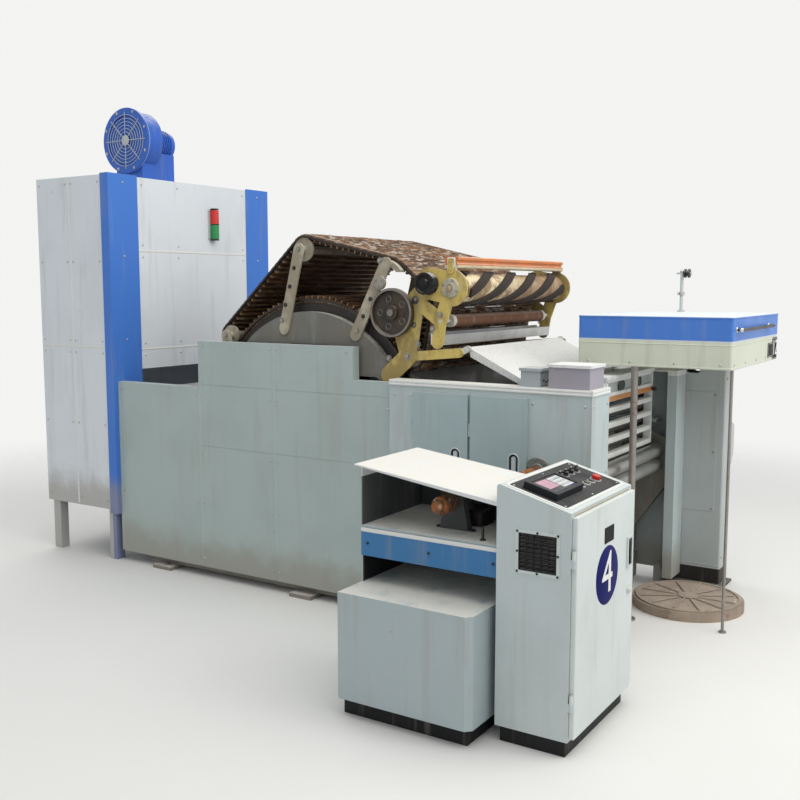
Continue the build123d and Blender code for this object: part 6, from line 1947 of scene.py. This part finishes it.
@dataclass
class FeedChute:
    """The chute's seams, screws, rear door fittings, lamp caps, fan guard and spigot flange.

    Attributes:
        half: half of its width.
        front, rear: its front and rear in Y.
        fan: the fan's axis (y, z).
        guard: X of the fan's intake rim.
        spigot: the spigot's upright axis (x, y).
    """

    half: float = 0.69
    front: float = 1.34
    rear: float = 1.96
    fan: tuple[float, float] = (1.53, 2.475)
    guard: float = -0.374
    spigot: tuple[float, float] = (0.0, 1.77)

    def build(self) -> None:
        """Make the chute's pieces."""
        self.fan_guard()
        seams, screws = Skin(), Skin()
        for z in (1.235, 1.815):
            seams.grid(bead((-0.473, self.front, z), (0.473, self.front, z), FRONT, 0.006, 0.0022))
        for side in (-1, 1):
            x = side * self.half
            seams.grid(bead((x, 1.402, 1.255), (x, self.rear - 0.01, 1.255), (side, 0, 0), 0.006, 0.0022))
            seams.grid(bead((x, 1.68, 0.31), (x, 1.68, 2.23), (side, 0, 0), 0.006, 0.0022))
            screws.screws(lattice(x, (1.425, 1.655, 1.705, 1.935), (0.35, 0.8, 1.22, 1.29, 1.75, 2.2)),
                          (side, 0, 0), 0.006)
            screws.screws(lattice(side * 0.585, self.front - 0.005, (0.34, 0.82, 1.3, 1.78, 2.2)), FRONT,
                          0.006)
            screws.screws(lattice(side * 0.64, self.rear, (0.35, 0.85, 1.35, 1.85, 2.18)), BACK, 0.006)
        screws.screws(lattice((-0.44, -0.15, 0.44), self.front, (1.2, 1.27, 1.78, 1.85, 2.2)), FRONT,
                      0.006)
        screws.screws(lattice((0.122, 0.178), self.front - 0.008, (1.913, 2.083)), FRONT, 0.005)
        seams.piece("chute_seams", "seal_white", "chute_white", smooth=45.0)
        spigot = Skin()
        spigot.turned((*self.spigot, 2.24), UP,
                      ((-0.001, 0.1565), (-0.001, 0.195), (0.006, 0.194), (0.008, 0.19),
                       (0.008, 0.1565)), 48)
        spigot.turned((*self.spigot, 2.335), UP,
                      ((-0.006, 0.1562), (-0.006, 0.16), (0, 0.162), (0.006, 0.16), (0.006, 0.1562)), 48)
        spigot.piece("spigot_flange", "zinc", "chute_white")
        screws.nuts(circle((*self.spigot, 2.248), 0.178, full_turn(8) + 0.2, Axis.Z), UP, 0.007)
        for z in (1.05, 1.55):
            screws.plug((0.264, self.rear + 0.0038, z - 0.035), UP, ((0, 0.0041), (0.07, 0.0041)), 12)
            screws.rounded((-0.2685, self.rear, z), RIGHT, UP, BACK, (0.0065, 0.02), 0.004, 0.0072)
        screws.piece("chute_screws", "zinc", "chute_white")
        caps = Skin()
        for z, r in ((2.094, 0.0262), (1.998, 0.0268), (1.902, 0.0272)):
            caps.turned((0.15, 1.314, z), UP,
                        ((-0.003, r - 0.002), (-0.003, r), (0.003, r), (0.005, r - 0.004),
                         (0.005, 0) if z > 2.05 else (0.005, r - 0.002)), 28)
        caps.piece("lamp_caps", "rubber", "lamp_lens")

    def fan_guard(self) -> None:
        """Concentric wires and spokes over the intake, a light disc behind them and bolts.

        A ring's point is centre + (R + r cos b) * (cos a, sin a), with r sin b along X.
        """
        y, z = self.fan
        a = full_turn(48)[:, None]
        b = full_turn(6)[None]
        wires = Skin()
        for big in np.arange(0.030, 0.160, 0.020):
            far = big + 0.0018 * np.cos(b)
            wires.band(np.stack([self.guard - 0.002 + 0.0018 * np.sin(b) + 0 * a, y + far * np.cos(a),
                                 z + far * np.sin(a)], -1))
        for t in full_turn(8):
            ends = np.array([[self.guard - 0.0035, y + r * math.cos(t), z + r * math.sin(t)]
                             for r in (0.026, 0.09, 0.168)])
            wires.pipe(ends, 0.0022, 6)
        wires.plug((self.guard - 0.001, y, z), LEFT, ((-0.002, 0.03), (0.004, 0.029), (0.006, 0.024)), 28)
        wires.piece("fan_guard", "pole_grey", "fan_blue")
        bolts = Skin()
        bolts.nuts(circle((self.guard, y, z), 0.176, full_turn(8) + 0.39), LEFT, 0.006)
        bolts.nuts([(x, y + d, 2.252) for x in (-0.33, -0.27) for d in (-0.085, 0.085)], UP, 0.006)
        bolts.piece("fan_bolts", "zinc", "fan_blue")


@dataclass
class FloorFittings:
    """Foot bolts, the turntable's ribs, and the motor's terminal box.

    Attributes:
        feet: (|x|, y) of the bolts in the feet.
        table: height of the turntable's top.
        terminals: (x, y) of the terminal box's middle.
    """

    feet: tuple[tuple[float, float], ...] = ((0.64, -1.2), (0.64, 1.0))
    table: float = 0.052
    terminals: tuple[float, float] = (0.39, 0.82)

    def build(self) -> None:
        """Make the fittings; the turntable's ribs are a ring of low radial bars."""
        Skin().nuts([(side * x, y, 0.02) for x, y in self.feet for side in (-1, 1)], UP, 0.012).piece(
            "foot_bolts", "bright_bolt", "frame_castings")
        ribs = Skin()
        middle = (*COILER_AXIS, self.table)
        for t in full_turn(12):
            ahead = np.array([math.cos(t), math.sin(t), 0.0])
            near, far = (np.array(middle) + ahead * r for r in (0.06, 0.235))
            ribs.grid(bead(tuple(near), tuple(far), UP, 0.005, 0.0022))
        ribs.plug(middle, UP, ((-0.001, 0.05), (0.002, 0.048), (0.0024, 0.03)), 36)
        ribs.piece("turntable_ribs", "turntable", "table_rust", "turntable", smooth=40.0)
        x, y = self.terminals
        box = Skin()
        box.rounded((x, y, 0.393), RIGHT, BACK, UP, (0.05, 0.04), 0.008, 0.046)
        box.screws([(x + i, y + j, 0.439) for i in (-0.04, 0.04) for j in (-0.03, 0.03)], UP, 0.004)
        box.plug((x, y + 0.04, 0.412), BACK, ((-0.002, 0.013), (0.012, 0.013), (0.014, 0.01)), 12)
        box.piece("motor_box", "motor_grey", "motor_grey")


def sensor_lead() -> None:
    """The short lead between the two housings: its route's points on a smooth spline."""
    route = [(-0.64, -1.372, 1.215), (-0.64, -1.358, 1.215), (-0.655, -1.35, 1.19), (-0.64, -1.342, 1.2),
             (-0.64, -1.328, 1.2)]
    curve = bpy.data.curves.new("sensor_lead", "CURVE")
    curve.dimensions = "3D"
    curve.bevel_depth = 0.004
    curve.bevel_resolution = 4
    curve.use_fill_caps = True
    spline = curve.splines.new("NURBS")
    spline.points.add(len(route) - 1)
    for point, place in zip(spline.points, route):
        point.co = (*place, 1.0)
    spline.order_u = 3
    spline.use_endpoint_u = True
    spline.resolution_u = 16
    curve.materials.append(Wardrobe.new("cable_black"))
    lead = linked("sensor_lead", curve)
    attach(lead, "machine_frame")
    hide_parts("sensor_cable")


def wound_drum(node: bpy.types.Object) -> None:
    """Make the stripping drum with its strips wound the other way round, as on the real machine.

    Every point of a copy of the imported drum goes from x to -x, and every triangle lists its corners
    backwards, so the helix changes hand and the faces still point outwards.

    Args:
        node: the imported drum.
    """
    mesh = node.data
    points = np.empty(len(mesh.vertices) * 3)
    mesh.vertices.foreach_get("co", points)
    corners = np.empty(len(mesh.loops), dtype=int)
    mesh.loops.foreach_get("vertex_index", corners)
    drum = Skin()
    drum.add(points.reshape(-1, 3) * (-1.0, 1.0, 1.0), corners.reshape(-1, 3)[:, ::-1])
    obj = drum.piece("wound_drum", "drum", "drum_cream", "spiral_drum", smooth=30.0)
    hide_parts("spiral_drum")


def main() -> None:
    """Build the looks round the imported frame, report each piece, and finish."""
    logging.basicConfig(level=logging.INFO, format="%(name)s: %(message)s")
    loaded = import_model()
    bpy.context.scene.view_settings.view_transform = "Standard"
    Studio().build()
    nodes = loaded["nodes"]
    Wardrobe.dress(nodes)
    sensor_lead()
    wound_drum(nodes["spiral_drum"])
    path = EndlessPath([((0.5527011, 1.3437713), 0.06, 1), ((0.05, 1.794), 0.066, 1),
                        ((-0.444, 1.595), 0.15, 1), ((-0.648, 1.543), 0.06, 1),
                        ((-0.6051008, 1.2729571), 0.06, 1), ((0.0, CYLINDER_HEIGHT), 0.6585, -1)])
    Flats(path).build()
    for assembly in (CoilerHead(), Column(), ControlCabinet(), SideCasings(), DriveBay(), DeliveryFront(),
                     StrippingGear(), FeedChute(), FloorFittings()):
        assembly.build()


if __name__ == "__main__":
    main()
